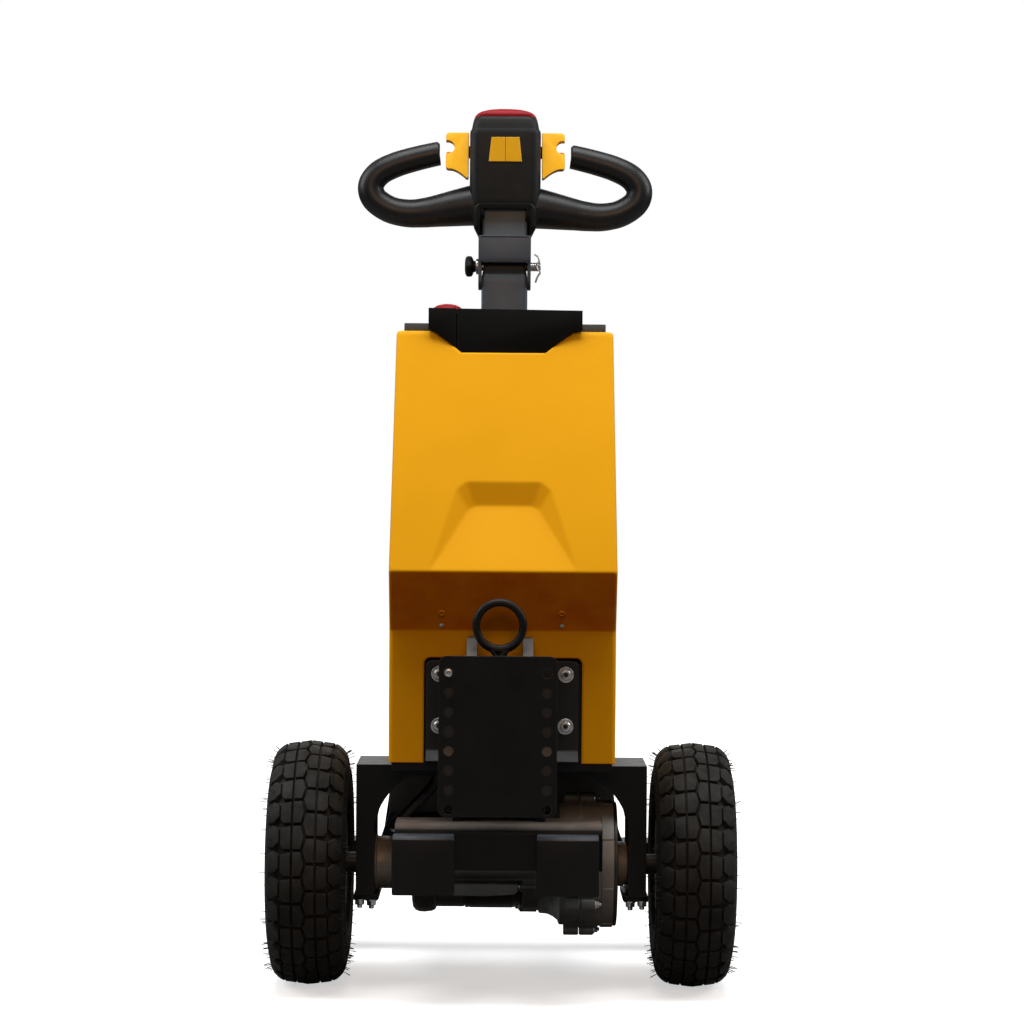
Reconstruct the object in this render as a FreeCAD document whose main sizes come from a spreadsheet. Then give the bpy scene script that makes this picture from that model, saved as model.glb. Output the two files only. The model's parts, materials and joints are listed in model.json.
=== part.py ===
import FreeCAD, Part
import math
import os
import Sketcher
from FreeCAD import Placement, Rotation, Vector

# A walk-behind electric tug: two pneumatic drive wheels on a transaxle, two swivel casters
# behind them, a folded sheet cover over the battery, a drilled coupling plate at the front
# and a tilting tiller with two open grip loops.
# Axes: -Y is the coupling side, +Y the operator's side, +Z up, floor at Z = 0. Millimetres.

doc = FreeCAD.newDocument("ElectricTug")
sheet = doc.addObject("Spreadsheet::Sheet", "Sizes")

DRIVING_SIZES = {
    # wheels and axle
    "axle_y": -63.0,
    "tyre_diameter": 330.0,
    "tyre_width": 105.0,
    "track_width": 518.0,
    "bead_diameter": 152.0,
    "rim_flange_diameter": 176.0,
    "shaft_diameter": 28.0,
    # chassis
    "beam_width": 390.0,
    "beam_depth": 120.0,
    "beam_thick": 14.0,
    "beam_top": 304.0,
    "leg_thick": 24.5,
    "leg_bottom": 128.0,
    "arch_radius": 92.0,
    "arch_spring": 207.0,
    "gusset_thick": 8.0,
    "base_width": 290.0,
    "base_front": 136.0,
    "base_rear": 240.0,
    "base_thick": 10.0,
    "bulkhead_width": 250.0,
    "bulkhead_top": 446.0,
    "bulkhead_thick": 6.0,
    "chassis_box_width": 312.0,
    "chassis_box_front": 92.0,
    "chassis_box_length": 164.0,
    "chassis_box_bottom": 222.0,
    "chassis_box_wall": 4.0,
    "caster_beam_height": 32.0,
    "caster_beam_depth": 60.0,
    "bracket_flare": 20.0,
    "bracket_rise": 60.0,
    # cover
    "cover_width": 298.0,
    "cover_top_width": 291.0,
    "cover_wall": 3.0,
    "cover_bottom": 318.0,
    "cover_knee_low": 489.0,
    "cover_knee": 568.0,
    "cover_top": 886.0,
    "cover_face": 140.0,
    "cover_nose": 195.0,
    "cover_brow": 47.0,
    "cover_ridge": 100.0,
    "cover_back": 240.0,
    "cover_back_top": 760.0,
    "notch_top_half": 93.0,
    "notch_foot_half": 58.0,
    "notch_foot": 858.5,
    "hatch_half": 95.0,
    "hatch_front": 43.0,
    "hatch_back": 92.0,
    "deck_front": 17.0,
    "deck_depth": 88.0,
    "deck_thick": 12.0,
    "hood_width": 205.0,
    "hood_top": 919.0,
    "deck_width": 268.0,
    "stop_x": 78.0,
    "stop_y": -16.0,
    "stop_diameter": 38.0,
    "stop_seat": 914.0,
    # transaxle and motor
    "gearbox_radius": 83.0,
    "gearbox_left": 77.0,
    "gearbox_length": 75.0,
    "neck_length": 25.0,
    "lug_reach": 10.0,
    "motor_radius": 60.0,
    "motor_y": 118.0,
    "motor_z": 147.0,
    "motor_length": 150.0,
    "brake_cap_length": 26.0,
    "conduit_diameter": 14.0,
    "axle_tube_radius": 24.0,
    "axle_flange_radius": 38.0,
    "axle_flange_x": 170.3,
    # guard
    "guard_width": 271.0,
    "guard_shift": 3.5,
    "guard_front": 176.0,
    "guard_bottom": 178.0,
    "guard_height": 60.0,
    "guard_depth": 114.0,
    "guard_wall": 6.0,
    "guard_bend": 14.0,
    "pad_width": 81.0,
    "pad_height": 81.0,
    "pad_bottom": 148.0,
    "pad_thick": 24.0,
    "pad_left_x": 101.0,
    "pad_right_x": 86.5,
    # coupling
    "plate_width": 152.0,
    "plate_height": 206.0,
    "plate_thick": 8.0,
    "plate_front": 240.0,
    "plate_bottom": 255.5,
    "plate_shift": 5.5,
    "hole_diameter": 13.0,
    "hole_pitch": 25.0,
    "hole_columns": 126.0,
    "hole_margin": 9.5,
    "mount_width": 200.0,
    "mount_height": 132.0,
    "mount_bottom": 318.0,
    "mount_thick": 8.0,
    "cheek_gap": 59.0,
    "cheek_thick": 13.4,
    "cheek_shift": 3.4,
    "cheek_low": 340.0,
    "cheek_step": 452.0,
    "cheek_top": 482.0,
    "cheek_setback": 38.0,
    "block_depth": 52.0,
    "block_thick": 14.0,
    "block_low": 352.0,
    "block_high": 442.0,
    "plate_lug_width": 50.0,
    "plate_lug_depth": 36.0,
    "plate_lug_height": 70.0,
    "plate_lug_bottom": 369.0,
    "tow_pin_diameter": 16.0,
    "tow_pin_y": 212.0,
    "tow_pin_top": 456.0,
    "tow_pin_length": 118.0,
    "ring_radius": 30.0,
    "ring_wire": 10.0,
    # casters
    "caster_x": 262.0,
    "caster_y": 286.0,
    "caster_radius": 50.0,
    "caster_width": 32.0,
    "caster_trail": 30.0,
    "caster_height": 130.0,
    # tiller
    "tiller_y": 60.0,
    "post_width": 62.0,
    "post_depth": 40.0,
    "pivot_z": 980.0,
    "pivot_diameter": 12.0,
    "yoke_top": 1021.0,
    "arm_width": 60.0,
    "arm_top": 1120.0,
    "yoke_wall": 5.0,
    "head_width": 95.0,
    "head_depth": 66.0,
    "head_top": 1199.0,
    "loop_tube": 36.0,
}


class Size:
    """A number together with the sheet expression that it comes from."""

    def __init__(self, value, text):
        self.value = value
        self.text = text

    def _join(self, other, sign, value):
        return Size(value, "(%s %s %s)" % (self.text, sign, as_size(other).text))

    def __add__(self, other):
        return self._join(other, "+", self.value + as_size(other).value)

    def __sub__(self, other):
        return self._join(other, "-", self.value - as_size(other).value)

    def __mul__(self, other):
        return self._join(other, "*", self.value * as_size(other).value)

    def __truediv__(self, other):
        return self._join(other, "/", self.value / as_size(other).value)

    def __radd__(self, other):
        return as_size(other) + self

    def __rsub__(self, other):
        return as_size(other) - self

    def __rmul__(self, other):
        return as_size(other) * self

    def __neg__(self):
        return Size(-self.value, "(0 - %s)" % self.text)


def as_size(number):
    """Turn a plain number into a Size, and leave a Size as it is."""
    if isinstance(number, Size):
        return number
    return Size(float(number), "%.6g" % number)


for row, (alias, number) in enumerate(DRIVING_SIZES.items(), start=1):
    sheet.set("A%d" % row, alias)
    sheet.set("B%d" % row, str(number))
    sheet.setAlias("B%d" % row, alias)
doc.recompute()


def size(alias):
    """The Size held in one cell of the sheet."""
    return Size(float(sheet.get(alias)), "Sizes.%s" % alias)


SUBPARTS = []


def bind(thing, prop, number, unit="mm"):
    """Bind one length of an object to its sheet expression."""
    thing.setExpression(prop, "(%s) * 1 %s" % (as_size(number).text, unit))


def place(thing, at, axis=Vector(0, 0, 1), angle=0.0):
    """Put an object at a point given as three Sizes or numbers, turned about an axis."""
    point = [as_size(number) for number in at]
    base = Vector(*[number.value for number in point])
    thing.Placement = Placement(base, Rotation(axis, angle))
    for letter, number in zip("xyz", point):
        bind(thing, "Placement.Base.%s" % letter, number)


def finish(thing, label):
    """Name a finished sub-part and put it on the list of nodes."""
    thing.Label = label
    SUBPARTS.append(thing)
    return thing


# ---------------------------------------------------------------- Part primitives

def box(name, lengths, at):
    """A Part::Box with its low corner at a point."""
    solid = doc.addObject("Part::Box", name)
    for prop, number in zip(("Length", "Width", "Height"), lengths):
        bind(solid, prop, number)
    place(solid, at)
    return solid


AXIS_TURN = {
    "x": (Vector(0, 1, 0), 90.0),
    "-y": (Vector(1, 0, 0), 90.0),
    "y": (Vector(1, 0, 0), -90.0),
    "z": (Vector(0, 0, 1), 0.0),
    "-z": (Vector(1, 0, 0), 180.0),
}


def cylinder(name, radius, length, at, axis="z"):
    """A Part::Cylinder that starts at a point and runs along an axis."""
    solid = doc.addObject("Part::Cylinder", name)
    bind(solid, "Radius", radius)
    bind(solid, "Height", length)
    place(solid, at, *AXIS_TURN[axis])
    return solid


def fuse(name, shapes):
    """Join solids into one with Part::MultiFuse."""
    joined = doc.addObject("Part::MultiFuse", name)
    joined.Shapes = shapes
    joined.Refine = True
    return joined


def cut(name, base, tools):
    """Take one or more solids away from a base."""
    tool = tools[0] if len(tools) == 1 else fuse(name + "Tools", tools)
    result = doc.addObject("Part::Cut", name)
    result.Base = base
    result.Tool = tool
    result.Refine = True
    return result


def rounded(name, base, radius, chooser):
    """Part::Fillet on the edges that a test picks from the base's shape."""
    doc.recompute()
    picked = [number + 1 for number, edge in enumerate(base.Shape.Edges) if chooser(edge)]
    result = doc.addObject("Part::Fillet", name)
    result.Base = base
    result.Edges = [(number, radius, radius) for number in picked]
    return result


def runs_along(direction):
    """A test for straight edges parallel to a direction."""
    def chooser(edge):
        if not isinstance(edge.Curve, Part.Line):
            return False
        return abs(abs(edge.Curve.Direction.dot(direction)) - 1.0) < 1e-6
    return chooser


# ---------------------------------------------------------------- PartDesign bodies

def new_body(name, at):
    """An empty PartDesign::Body at a point."""
    body = doc.addObject("PartDesign::Body", name)
    place(body, at)
    return body


def new_sketch(body, role, name, offset=0):
    """A sketch on one of the body's own origin planes, moved along its normal."""
    sketch = body.newObject("Sketcher::SketchObject", name)
    plane = [item for item in body.Origin.OriginFeatures if item.Role == role][0]
    sketch.AttachmentSupport = [(plane, "")]
    sketch.MapMode = "FlatFace"
    offset = as_size(offset)
    sketch.AttachmentOffset = Placement(Vector(0, 0, offset.value), Rotation())
    bind(sketch, "AttachmentOffset.Base.z", offset)
    return sketch


def pin_point(sketch, element, end, point):
    """Hold one end of a sketch element at a dimensioned place."""
    for kind, number in zip(("DistanceX", "DistanceY"), point):
        number = as_size(number)
        if abs(number.value) < 1e-9:
            other = -2 if kind == "DistanceX" else -1
            sketch.addConstraint(Sketcher.Constraint("PointOnObject", element, end, other))
            continue
        index = sketch.addConstraint(
            Sketcher.Constraint(kind, -1, 1, element, end, number.value))
        bind(sketch, "Constraints[%d]" % index, number)


def values(point):
    """A sketch point from two Sizes or numbers."""
    return Vector(as_size(point[0]).value, as_size(point[1]).value, 0)


def arc_through(start, middle, stop):
    """A counter-clockwise arc through three points, and whether it begins at the first."""
    found = Part.Arc(start, middle, stop).toShape().Curve
    centre = found.Center
    turns = ((middle - start).cross(stop - middle)).z > 0
    first, last = (start, stop) if turns else (stop, start)
    angles = [math.atan2(point.y - centre.y, point.x - centre.x) for point in (first, last)]
    if angles[1] < angles[0]:
        angles[1] += 2 * math.pi
    ring = Part.Circle(centre, Vector(0, 0, 1), found.Radius)
    return Part.ArcOfCircle(ring, angles[0], angles[1]), turns


def polygon(sketch, corners):
    """A closed outline. A corner is (x, y), or (x, y, (mx, my)) to reach it by an arc."""
    count = len(corners)
    first = sketch.GeometryCount
    ends = []
    for number, corner in enumerate(corners):
        following = corners[(number + 1) % count]
        start, stop = values(corner), values(following)
        forward = True
        if len(following) == 3:
            element, forward = arc_through(start, values(following[2]), stop)
        else:
            element = Part.LineSegment(start, stop)
        sketch.addGeometry(element)
        ends.append((1, 2) if forward else (2, 1))
    for number, corner in enumerate(corners):
        before = (number - 1) % count
        sketch.addConstraint(Sketcher.Constraint(
            "Coincident", first + before, ends[before][1], first + number, ends[number][0]))
        pin_point(sketch, first + number, ends[number][0], corner)


def circle(sketch, centre, radius):
    """A circle held by its centre and radius."""
    radius = as_size(radius)
    element = sketch.addGeometry(Part.Circle(values(centre), Vector(0, 0, 1), radius.value))
    pin_point(sketch, element, 3, centre)
    index = sketch.addConstraint(Sketcher.Constraint("Radius", element, radius.value))
    bind(sketch, "Constraints[%d]" % index, radius)


def pad(body, sketch, length, reverse=False):
    """Pad a sketch along its normal, or against it."""
    feature = body.newObject("PartDesign::Pad", sketch.Name + "Pad")
    feature.Profile = sketch
    feature.Reversed = reverse
    bind(feature, "Length", length)
    doc.recompute()
    return feature


def pocket(body, sketch, length, reverse=False):
    """Pocket a sketch, and make sure that it took material away."""
    doc.recompute()
    before = body.Shape.Volume
    feature = body.newObject("PartDesign::Pocket", sketch.Name + "Pocket")
    feature.Profile = sketch
    feature.Reversed = reverse
    bind(feature, "Length", length)
    doc.recompute()
    if body.Shape.Volume > before - 1e-3:
        raise RuntimeError("pocket %s cuts nothing" % sketch.Name)
    return feature


def revolve(body, sketch, axis="H_Axis"):
    """Revolve a sketch a full turn about one of its own axes."""
    feature = body.newObject("PartDesign::Revolution", sketch.Name + "Turn")
    feature.Profile = sketch
    feature.ReferenceAxis = (sketch, [axis])
    feature.Angle = 360.0
    doc.recompute()
    return feature


def round_edges(body, radius, chooser):
    """Fillet the edges of a body's last feature that a test picks."""
    doc.recompute()
    base = body.Tip
    names = ["Edge%d" % (number + 1)
             for number, edge in enumerate(base.Shape.Edges) if chooser(edge)]
    feature = body.newObject("PartDesign::Fillet", base.Name + "Round")
    feature.Base = (base, names)
    feature.Radius = radius
    doc.recompute()
    return feature


axle_y = size("axle_y")
axle_z = size("tyre_diameter") / 2
SIDES = (("left", -1), ("right", 1))


# ---------------------------------------------------------------- drive wheels

def tyre(side, sign):
    """A pneumatic tyre turned about the axle, open at its beads."""
    body = new_body("Tyre" + side.title(), (sign * size("track_width") / 2, axle_y, axle_z))
    sketch = new_sketch(body, "XZ_Plane", "TyreSection" + side.title())
    bead = size("bead_diameter") / 2
    flange = size("rim_flange_diameter") / 2
    half = size("tyre_width") / 2
    crown = size("tyre_diameter") / 2
    wall = 9
    polygon(sketch, [
        (-30, bead), (-41, bead), (-41, flange),
        (-half + 3, crown - 32, (-half, crown - 60)),
        (-half + 18, crown - 5, (-half + 8, crown - 13)),
        (half - 18, crown - 5, (0, crown)),
        (half - 3, crown - 32, (half - 8, crown - 13)),
        (41, flange, (half, crown - 60)),
        (41, bead), (30, bead), (30, flange),
        (half - wall - 4, crown - 34, (half - wall, crown - 60)),
        (0, crown - 13, (half - wall - 14, crown - 17)),
        (-half + wall + 4, crown - 34, (-half + wall + 14, crown - 17)),
        (-30, flange, (-half + wall, crown - 60)),
    ])
    revolve(body, sketch)
    return finish(body, "tyre_" + side)


def rim(side, sign):
    """A pressed steel rim: barrel, two flanges and one disc."""
    body = new_body("Rim" + side.title(), (sign * size("track_width") / 2, axle_y, axle_z))
    sketch = new_sketch(body, "XZ_Plane", "RimSection" + side.title())
    bead = size("bead_diameter") / 2
    flange = size("rim_flange_diameter") / 2
    polygon(sketch, [
        (-44, flange), (-41, flange), (-41, bead), (41, bead), (41, flange), (44, flange),
        (44, bead - 4), (3, bead - 4), (3, 27), (-3, 27), (-3, bead - 4), (-44, bead - 4),
    ])
    revolve(body, sketch)
    return finish(body, "rim_" + side)


def hub(side, sign):
    """Wheel hub on its drive shaft: shaft, boss, bolting flange and nose."""
    body = new_body("Hub" + side.title(), (sign * size("track_width") / 2, axle_y, axle_z))
    sketch = new_sketch(body, "XZ_Plane", "HubSection" + side.title())
    shaft = size("shaft_diameter") / 2
    inner_end = -sign * (size("track_width") / 2 - 152)
    polygon(sketch, [
        (inner_end, 0), (inner_end, shaft), (-sign * 50, shaft), (-sign * 50, 30),
        (-sign * 11, 30), (-sign * 11, 48), (-sign * 3, 48), (-sign * 3, 26),
        (sign * 22, 26), (sign * 22, 0),
    ])
    revolve(body, sketch)
    return finish(body, "wheel_hub_" + side)


# ---------------------------------------------------------------- chassis

def axle_frame():
    """A flat cross beam on two legs, with arched gusset plates in front and behind."""
    half = size("beam_width") / 2
    depth = size("beam_depth")
    beam_low = size("beam_top") - size("beam_thick")
    front = axle_y - depth / 2
    parts = [box("FrameBeam", (size("beam_width"), depth, size("beam_thick")),
                 (-half, front, beam_low))]
    for side, sign in SIDES:
        inner = half - size("leg_thick")
        low_x = -half if sign < 0 else inner
        leg = box("FrameLeg" + side.title(),
                  (size("leg_thick"), depth, beam_low - size("leg_bottom") + 1),
                  (low_x, front, size("leg_bottom")))
        parts.append(leg)
    for name, y in (("Front", front), ("Rear", axle_y + depth / 2 - size("gusset_thick"))):
        body = new_body("Gusset" + name, (0, y, 0))
        sketch = new_sketch(body, "XZ_Plane", "GussetOutline" + name)
        radius = size("arch_radius")
        x_low = half - size("leg_thick") + 1
        z_low = size("arch_spring")
        z_high = beam_low + 1
        rise = (z_high - z_low).value / radius.value
        run = radius * math.sqrt(1 - rise ** 2)
        x_high = x_low - radius + run
        turn = math.asin(rise) / 2
        bulge_x = x_low - radius + radius * math.cos(turn)
        bulge_z = z_low + radius * math.sin(turn)
        for sign in (-1, 1):
            polygon(sketch, [
                (sign * x_low, z_high), (sign * x_high, z_high),
                (sign * x_low, z_low, (sign * bulge_x, bulge_z)),
            ])
        pad(body, sketch, size("gusset_thick"), reverse=True)
        parts.append(body)
    frame = fuse("FrameJoined", parts)
    holes = cylinder("FrameBore", size("shaft_diameter") / 2 + 6, size("beam_width") + 20,
                     (-half - 10, axle_y, axle_z), "x")
    return finish(cut("AxleFrame", frame, [holes]), "axle_frame")


def base_plate():
    """The plate that the cover and the battery stand on, with its front edge turned up."""
    body = new_body("BaseFloor", (0, axle_y, size("beam_top")))
    sketch = new_sketch(body, "XY_Plane", "BaseOutline")
    half = size("base_width") / 2
    front = axle_y - size("base_front")
    polygon(sketch, [
        (-half, -size("base_front")), (half, -size("base_front")),
        (half, size("base_rear")), (-half, size("base_rear")),
    ])
    pad(body, sketch, size("base_thick"))
    bulkhead = box("Bulkhead", (size("bulkhead_width"), size("bulkhead_thick"),
                                size("bulkhead_top") - size("beam_top")),
                   (-size("bulkhead_width") / 2, front, size("beam_top")))
    return finish(fuse("BasePlate", [body, bulkhead]), "base_plate")


def chassis_box():
    """Closed sheet box under the base plate, behind the motor."""
    half = size("chassis_box_width") / 2
    wall = size("chassis_box_wall")
    low = size("chassis_box_bottom")
    front = axle_y + size("chassis_box_front")
    high = size("beam_top") - low
    outer = box("ChassisBoxOuter", (size("chassis_box_width"), size("chassis_box_length"), high),
                (-half, front, low))
    inner = box("ChassisBoxInner", (size("chassis_box_width") - 2 * wall,
                                    size("chassis_box_length") - 2 * wall, high - 2 * wall),
                (-half + wall, front + wall, low + wall))
    return finish(cut("ChassisBox", outer, [inner]), "chassis_box")


def rear_bracket():
    """Flared box, open behind, that brings the chassis down to the caster beam."""
    half = size("chassis_box_width") / 2
    wall = size("chassis_box_wall")
    low = size("caster_height") + size("caster_beam_height")
    flare = size("bracket_flare")
    front = axle_y + size("chassis_box_front") + size("chassis_box_length")
    body = new_body("RearBracket", (0, front, 0))
    sketch = new_sketch(body, "XZ_Plane", "RearBracketOutline")
    high = size("beam_top")
    bend = low + size("bracket_rise")
    polygon(sketch, [
        (-half, high), (-half, bend), (-half - flare, low), (half + flare, low),
        (half, bend), (half, high),
    ])
    pad(body, sketch, size("caster_beam_depth"), reverse=True)
    foot = half + flare - wall * 1.4
    inner_bend = bend - wall * 0.16
    hollow = new_sketch(body, "XZ_Plane", "RearBracketInside", -size("caster_beam_depth"))
    polygon(hollow, [
        (-half + wall, high - wall), (-half + wall, inner_bend), (-foot, low + wall),
        (foot, low + wall), (half - wall, inner_bend), (half - wall, high - wall),
    ])
    pocket(body, hollow, size("caster_beam_depth") - wall, reverse=True)
    return finish(body, "rear_bracket")


def caster_beam():
    """Square tube across the back with its two end plates for the casters."""
    body = new_body("CasterBeam", (0, axle_y + size("caster_y"), size("caster_height")))
    sketch = new_sketch(body, "XY_Plane", "CasterBeamOutline")
    half = size("caster_x") + 30
    deep = size("caster_beam_depth") / 2
    polygon(sketch, [(-half, -deep), (half, -deep), (half, deep), (-half, deep)])
    pad(body, sketch, size("caster_beam_height"))
    round_edges(body, 6, runs_along(Vector(0, 0, 1)))
    return finish(body, "caster_beam")


def caster(side, sign):
    """One swivel caster: fixed head, turning fork and wheel."""
    x, y = sign * size("caster_x"), axle_y + size("caster_y")
    top = size("caster_height")
    name = side.title()
    head = cylinder("CasterRace" + name, 24, 9, (x, y, top - 12))
    plate = box("CasterTop" + name, (64, 56, 3), (x - 32, y - 28, top - 3))
    finish(fuse("CasterHead" + name, [plate, head]), "caster_head_" + side)

    radius, wide = size("caster_radius"), size("caster_width")
    axle_at = y + size("caster_trail")
    crown_z = top - 17
    gap = wide / 2 + 2.5
    parts = [box("CasterBridge" + name, (2 * gap + 6, 50, 4), (x - gap - 3, y - 24, crown_z))]
    for cheek, low_x in (("In", x - gap - 3), ("Out", x + gap)):
        body = new_body("CasterCheek" + cheek + name, (low_x, y, 0))
        sketch = new_sketch(body, "YZ_Plane", "CheekOutline" + cheek + name)
        polygon(sketch, [
            (-24, crown_z + 2), (size("caster_trail") - 13, radius - 6),
            (size("caster_trail") + 13, radius - 6, (size("caster_trail"), radius - 15)),
            (26, crown_z + 2),
        ])
        circle(sketch, (size("caster_trail"), radius), 6.1)
        pad(body, sketch, 3)
        parts.append(body)
    finish(fuse("CasterFork" + name, parts), "caster_fork_" + side)

    wheel = new_body("CasterWheel" + name, (x, axle_at, radius))
    section = new_sketch(wheel, "XZ_Plane", "CasterWheelSection" + name)
    half = wide / 2
    polygon(section, [
        (-half - 2, 6.3), (-half - 2, 12), (-half + 6, 14), (-half + 6, radius - 14),
        (-half, radius - 12), (-half, radius - 4), (-half + 4, radius),
        (half - 4, radius), (half, radius - 4, (half - 1.2, radius - 1.2)),
        (half, radius - 12), (half - 6, radius - 14), (half - 6, 14), (half + 2, 12),
        (half + 2, 6.3),
    ])
    revolve(wheel, section)
    finish(wheel, "caster_wheel_" + side)
    bolt = cylinder("CasterAxle" + name, 6, wide + 19, (x - wide / 2 - 9.5, axle_at, radius),
                    "x")
    finish(bolt, "caster_axle_" + side)


# ---------------------------------------------------------------- transaxle and motor

def gearbox():
    """Cast reduction case: a drum on the axle that runs back to the motor's flange."""
    left = size("gearbox_left")
    body = new_body("Gearbox", (left, axle_y, axle_z))
    sketch = new_sketch(body, "YZ_Plane", "GearboxOutline")
    drum = size("gearbox_radius")
    reach = size("motor_y")
    drop = size("motor_z") - axle_z
    small = size("motor_radius") + 4
    polygon(sketch, [
        (0, drum), (0, -drum, (-drum, 0)), (reach, drop - small),
        (reach, drop + small, (reach + small, drop)),
    ])
    pad(body, sketch, size("gearbox_length"))
    round_edges(body, 9, lambda edge: edge.BoundBox.XLength < 1e-3)
    flange_left = left + size("gearbox_length") - 1
    flange = cylinder("GearboxFlange", size("axle_flange_radius"),
                      size("axle_flange_x") - flange_left, (flange_left, axle_y, axle_z), "x")
    lug_reach = size("lug_reach")
    lug = box("GearboxLug", (40, 24, 2 * (drum + lug_reach)),
              (left + 8, axle_y - 12, axle_z - drum - lug_reach))
    neck = cylinder("GearboxNeck", size("motor_radius") + 8, size("neck_length") + 1,
                    (left - size("neck_length"), axle_y + reach, size("motor_z")), "x")
    case = fuse("GearboxJoined", [body, flange, lug, neck])
    bore = cylinder("GearboxBore", size("shaft_diameter") / 2 + 0.3, 30,
                    (left + size("gearbox_length") - 6, axle_y, axle_z), "x")
    return finish(cut("GearboxCase", case, [bore]), "gearbox")


def axle_tube():
    """Axle casing from the gearbox to the left flange, with the strap under it."""
    left = size("axle_flange_x")
    radius = size("axle_tube_radius")
    flange = cylinder("TubeFlange", size("axle_flange_radius"), 26,
                      (-left, axle_y, axle_z), "x")
    tube = cylinder("TubeCasing", radius, left + size("gearbox_left"),
                    (-left, axle_y, axle_z), "x")
    strap = box("TubeStrap", (188, 30, 26), (-130, axle_y - 15, axle_z - radius - 16))
    case = fuse("AxleTubeJoined", [flange, tube, strap])
    bore = cylinder("TubeBore", size("shaft_diameter") / 2 + 0.3, 60,
                    (-left - 5, axle_y, axle_z), "x")
    return finish(cut("AxleTube", case, [bore]), "axle_tube")


def motor():
    """Traction motor beside the gearbox, and its brake cap."""
    y, z = axle_y + size("motor_y"), size("motor_z")
    neck_left = size("gearbox_left") - size("neck_length")
    length = size("motor_length")
    case = cylinder("MotorCase", size("motor_radius"), length, (neck_left - length, y, z), "x")
    finish(case, "drive_motor")
    cap_length = size("brake_cap_length")
    cap_radius = size("motor_radius") + 5
    left = neck_left - length - cap_length
    cap = cylinder("BrakeCapDrum", cap_radius, cap_length, (left, y, z), "x")
    soft = rounded("BrakeCapSoft", cap, 9, lambda edge: edge.BoundBox.XLength < 1e-3)
    slope = math.sqrt(0.5)
    reach = cap_radius - 10
    gland = cylinder("MotorGland", 10, 18,
                     (left + cap_length / 2, y - reach * slope, z + reach * slope))
    gland.Placement.Rotation = Rotation(Vector(1, 0, 0), 45)
    finish(fuse("BrakeCap", [soft, gland]), "motor_brake_cap")


def tube_wire(points, radii):
    """Straight runs joined by tangent arcs, as one wire."""
    edges = []
    last = points[0]
    for number in range(1, len(points) - 1):
        here = points[number]
        back = (points[number - 1] - here).normalize()
        ahead = (points[number + 1] - here).normalize()
        half = back.getAngle(ahead) / 2
        reach = radii[number - 1] / math.tan(half)
        start = here + back * reach
        stop = here + ahead * reach
        bisector = (back + ahead).normalize()
        centre = here + bisector * (radii[number - 1] / math.sin(half))
        middle = centre - bisector * radii[number - 1]
        edges.append(Part.LineSegment(last, start).toShape())
        edges.append(Part.Arc(start, middle, stop).toShape())
        last = stop
    edges.append(Part.LineSegment(last, points[-1]).toShape())
    return Part.Wire(edges)


def largest_radii(points):
    """The radius of each bend: 0.45 of the shorter run over the tangent of half the turn."""
    radii = []
    for number in range(1, len(points) - 1):
        back = points[number] - points[number - 1]
        ahead = points[number + 1] - points[number]
        turn = back.getAngle(ahead)
        radii.append(0.45 * min(back.Length, ahead.Length) / math.tan(turn / 2))
    return radii


def swept_tube(points, radius):
    """A round solid carried along straight runs and tangent arcs."""
    wire = tube_wire(points, largest_radii(points))
    heading = (points[1] - points[0]).normalize()
    section = Part.Wire(Part.Circle(points[0], heading, radius).toShape())
    return wire, wire.makePipeShell([section], True, True)


def motor_cable():
    """Conduit from the gland under the beam, round the axle casing, to the motor."""
    y = axle_y.value
    route = [Vector(x, y + aside, z) for x, aside, z in (
        (-86, 0, 290), (-86, 0, 270), (-101, -3, 251), (-124, -4, 232), (-142, 6, 217),
        (-147, 24, 211), (-139, 39, 214), (-125, 47, 217), (-111, 55, 210), (-111, 66.4, 198.6),
    )]
    radius = size("conduit_diameter").value / 2
    wire, solid = swept_tube(route, radius)
    feature = doc.addObject("Part::Feature", "MotorCable")
    feature.Shape = solid
    print("motor cable", round(wire.Length, 1), "mm, bends",
          [round(bend) for bend in largest_radii(route)],
          "fill", round(solid.Volume / (wire.Length * math.pi * radius ** 2), 3))
    return finish(feature, "motor_cable")


# ---------------------------------------------------------------- guard and coupling

def front_guard():
    """Bent plate over and in front of the axle, with two side arms back to the frame."""
    wall = size("guard_wall")
    front = axle_y - size("guard_front")
    half = size("guard_width") / 2
    x = -size("guard_shift")
    body = new_body("GuardBend", (x - half, front, size("guard_bottom")))
    sketch = new_sketch(body, "YZ_Plane", "GuardSection")
    high = size("guard_height")
    deep = size("guard_depth")
    bend = size("guard_bend")
    corner = 1 - math.sqrt(0.5)
    polygon(sketch, [
        (0, 0), (0, high - bend), (bend, high, (bend * corner, high - bend * corner)),
        (deep, high), (deep, high - wall), (bend, high - wall),
        (wall, high - bend, (wall + (bend - wall) * corner,
                             high - wall - (bend - wall) * corner)),
        (wall, 0),
    ])
    pad(body, sketch, size("guard_width"))
    top = size("guard_bottom") + high - 1
    arms = [
        box("GuardArm" + side.title(), (8, 60, size("beam_top") - top),
            (x + sign * 55 - 4, front + 42, top))
        for side, sign in SIDES
    ]
    return finish(fuse("FrontGuard", [body] + arms), "front_guard")


def bumper_pad(side, x):
    """Rubber block on the guard's face."""
    body = new_body("Pad" + side.title(), (x, axle_y - size("guard_front"), 0))
    sketch = new_sketch(body, "XZ_Plane", "PadOutline" + side.title())
    half = size("pad_width") / 2
    low = size("pad_bottom")
    polygon(sketch, [
        (-half, low), (half, low), (half, low + size("pad_height")),
        (-half, low + size("pad_height")),
    ])
    pad(body, sketch, size("pad_thick"))
    round_edges(body, 4, runs_along(Vector(0, 1, 0)))
    return finish(body, "bumper_pad_" + side)


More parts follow.
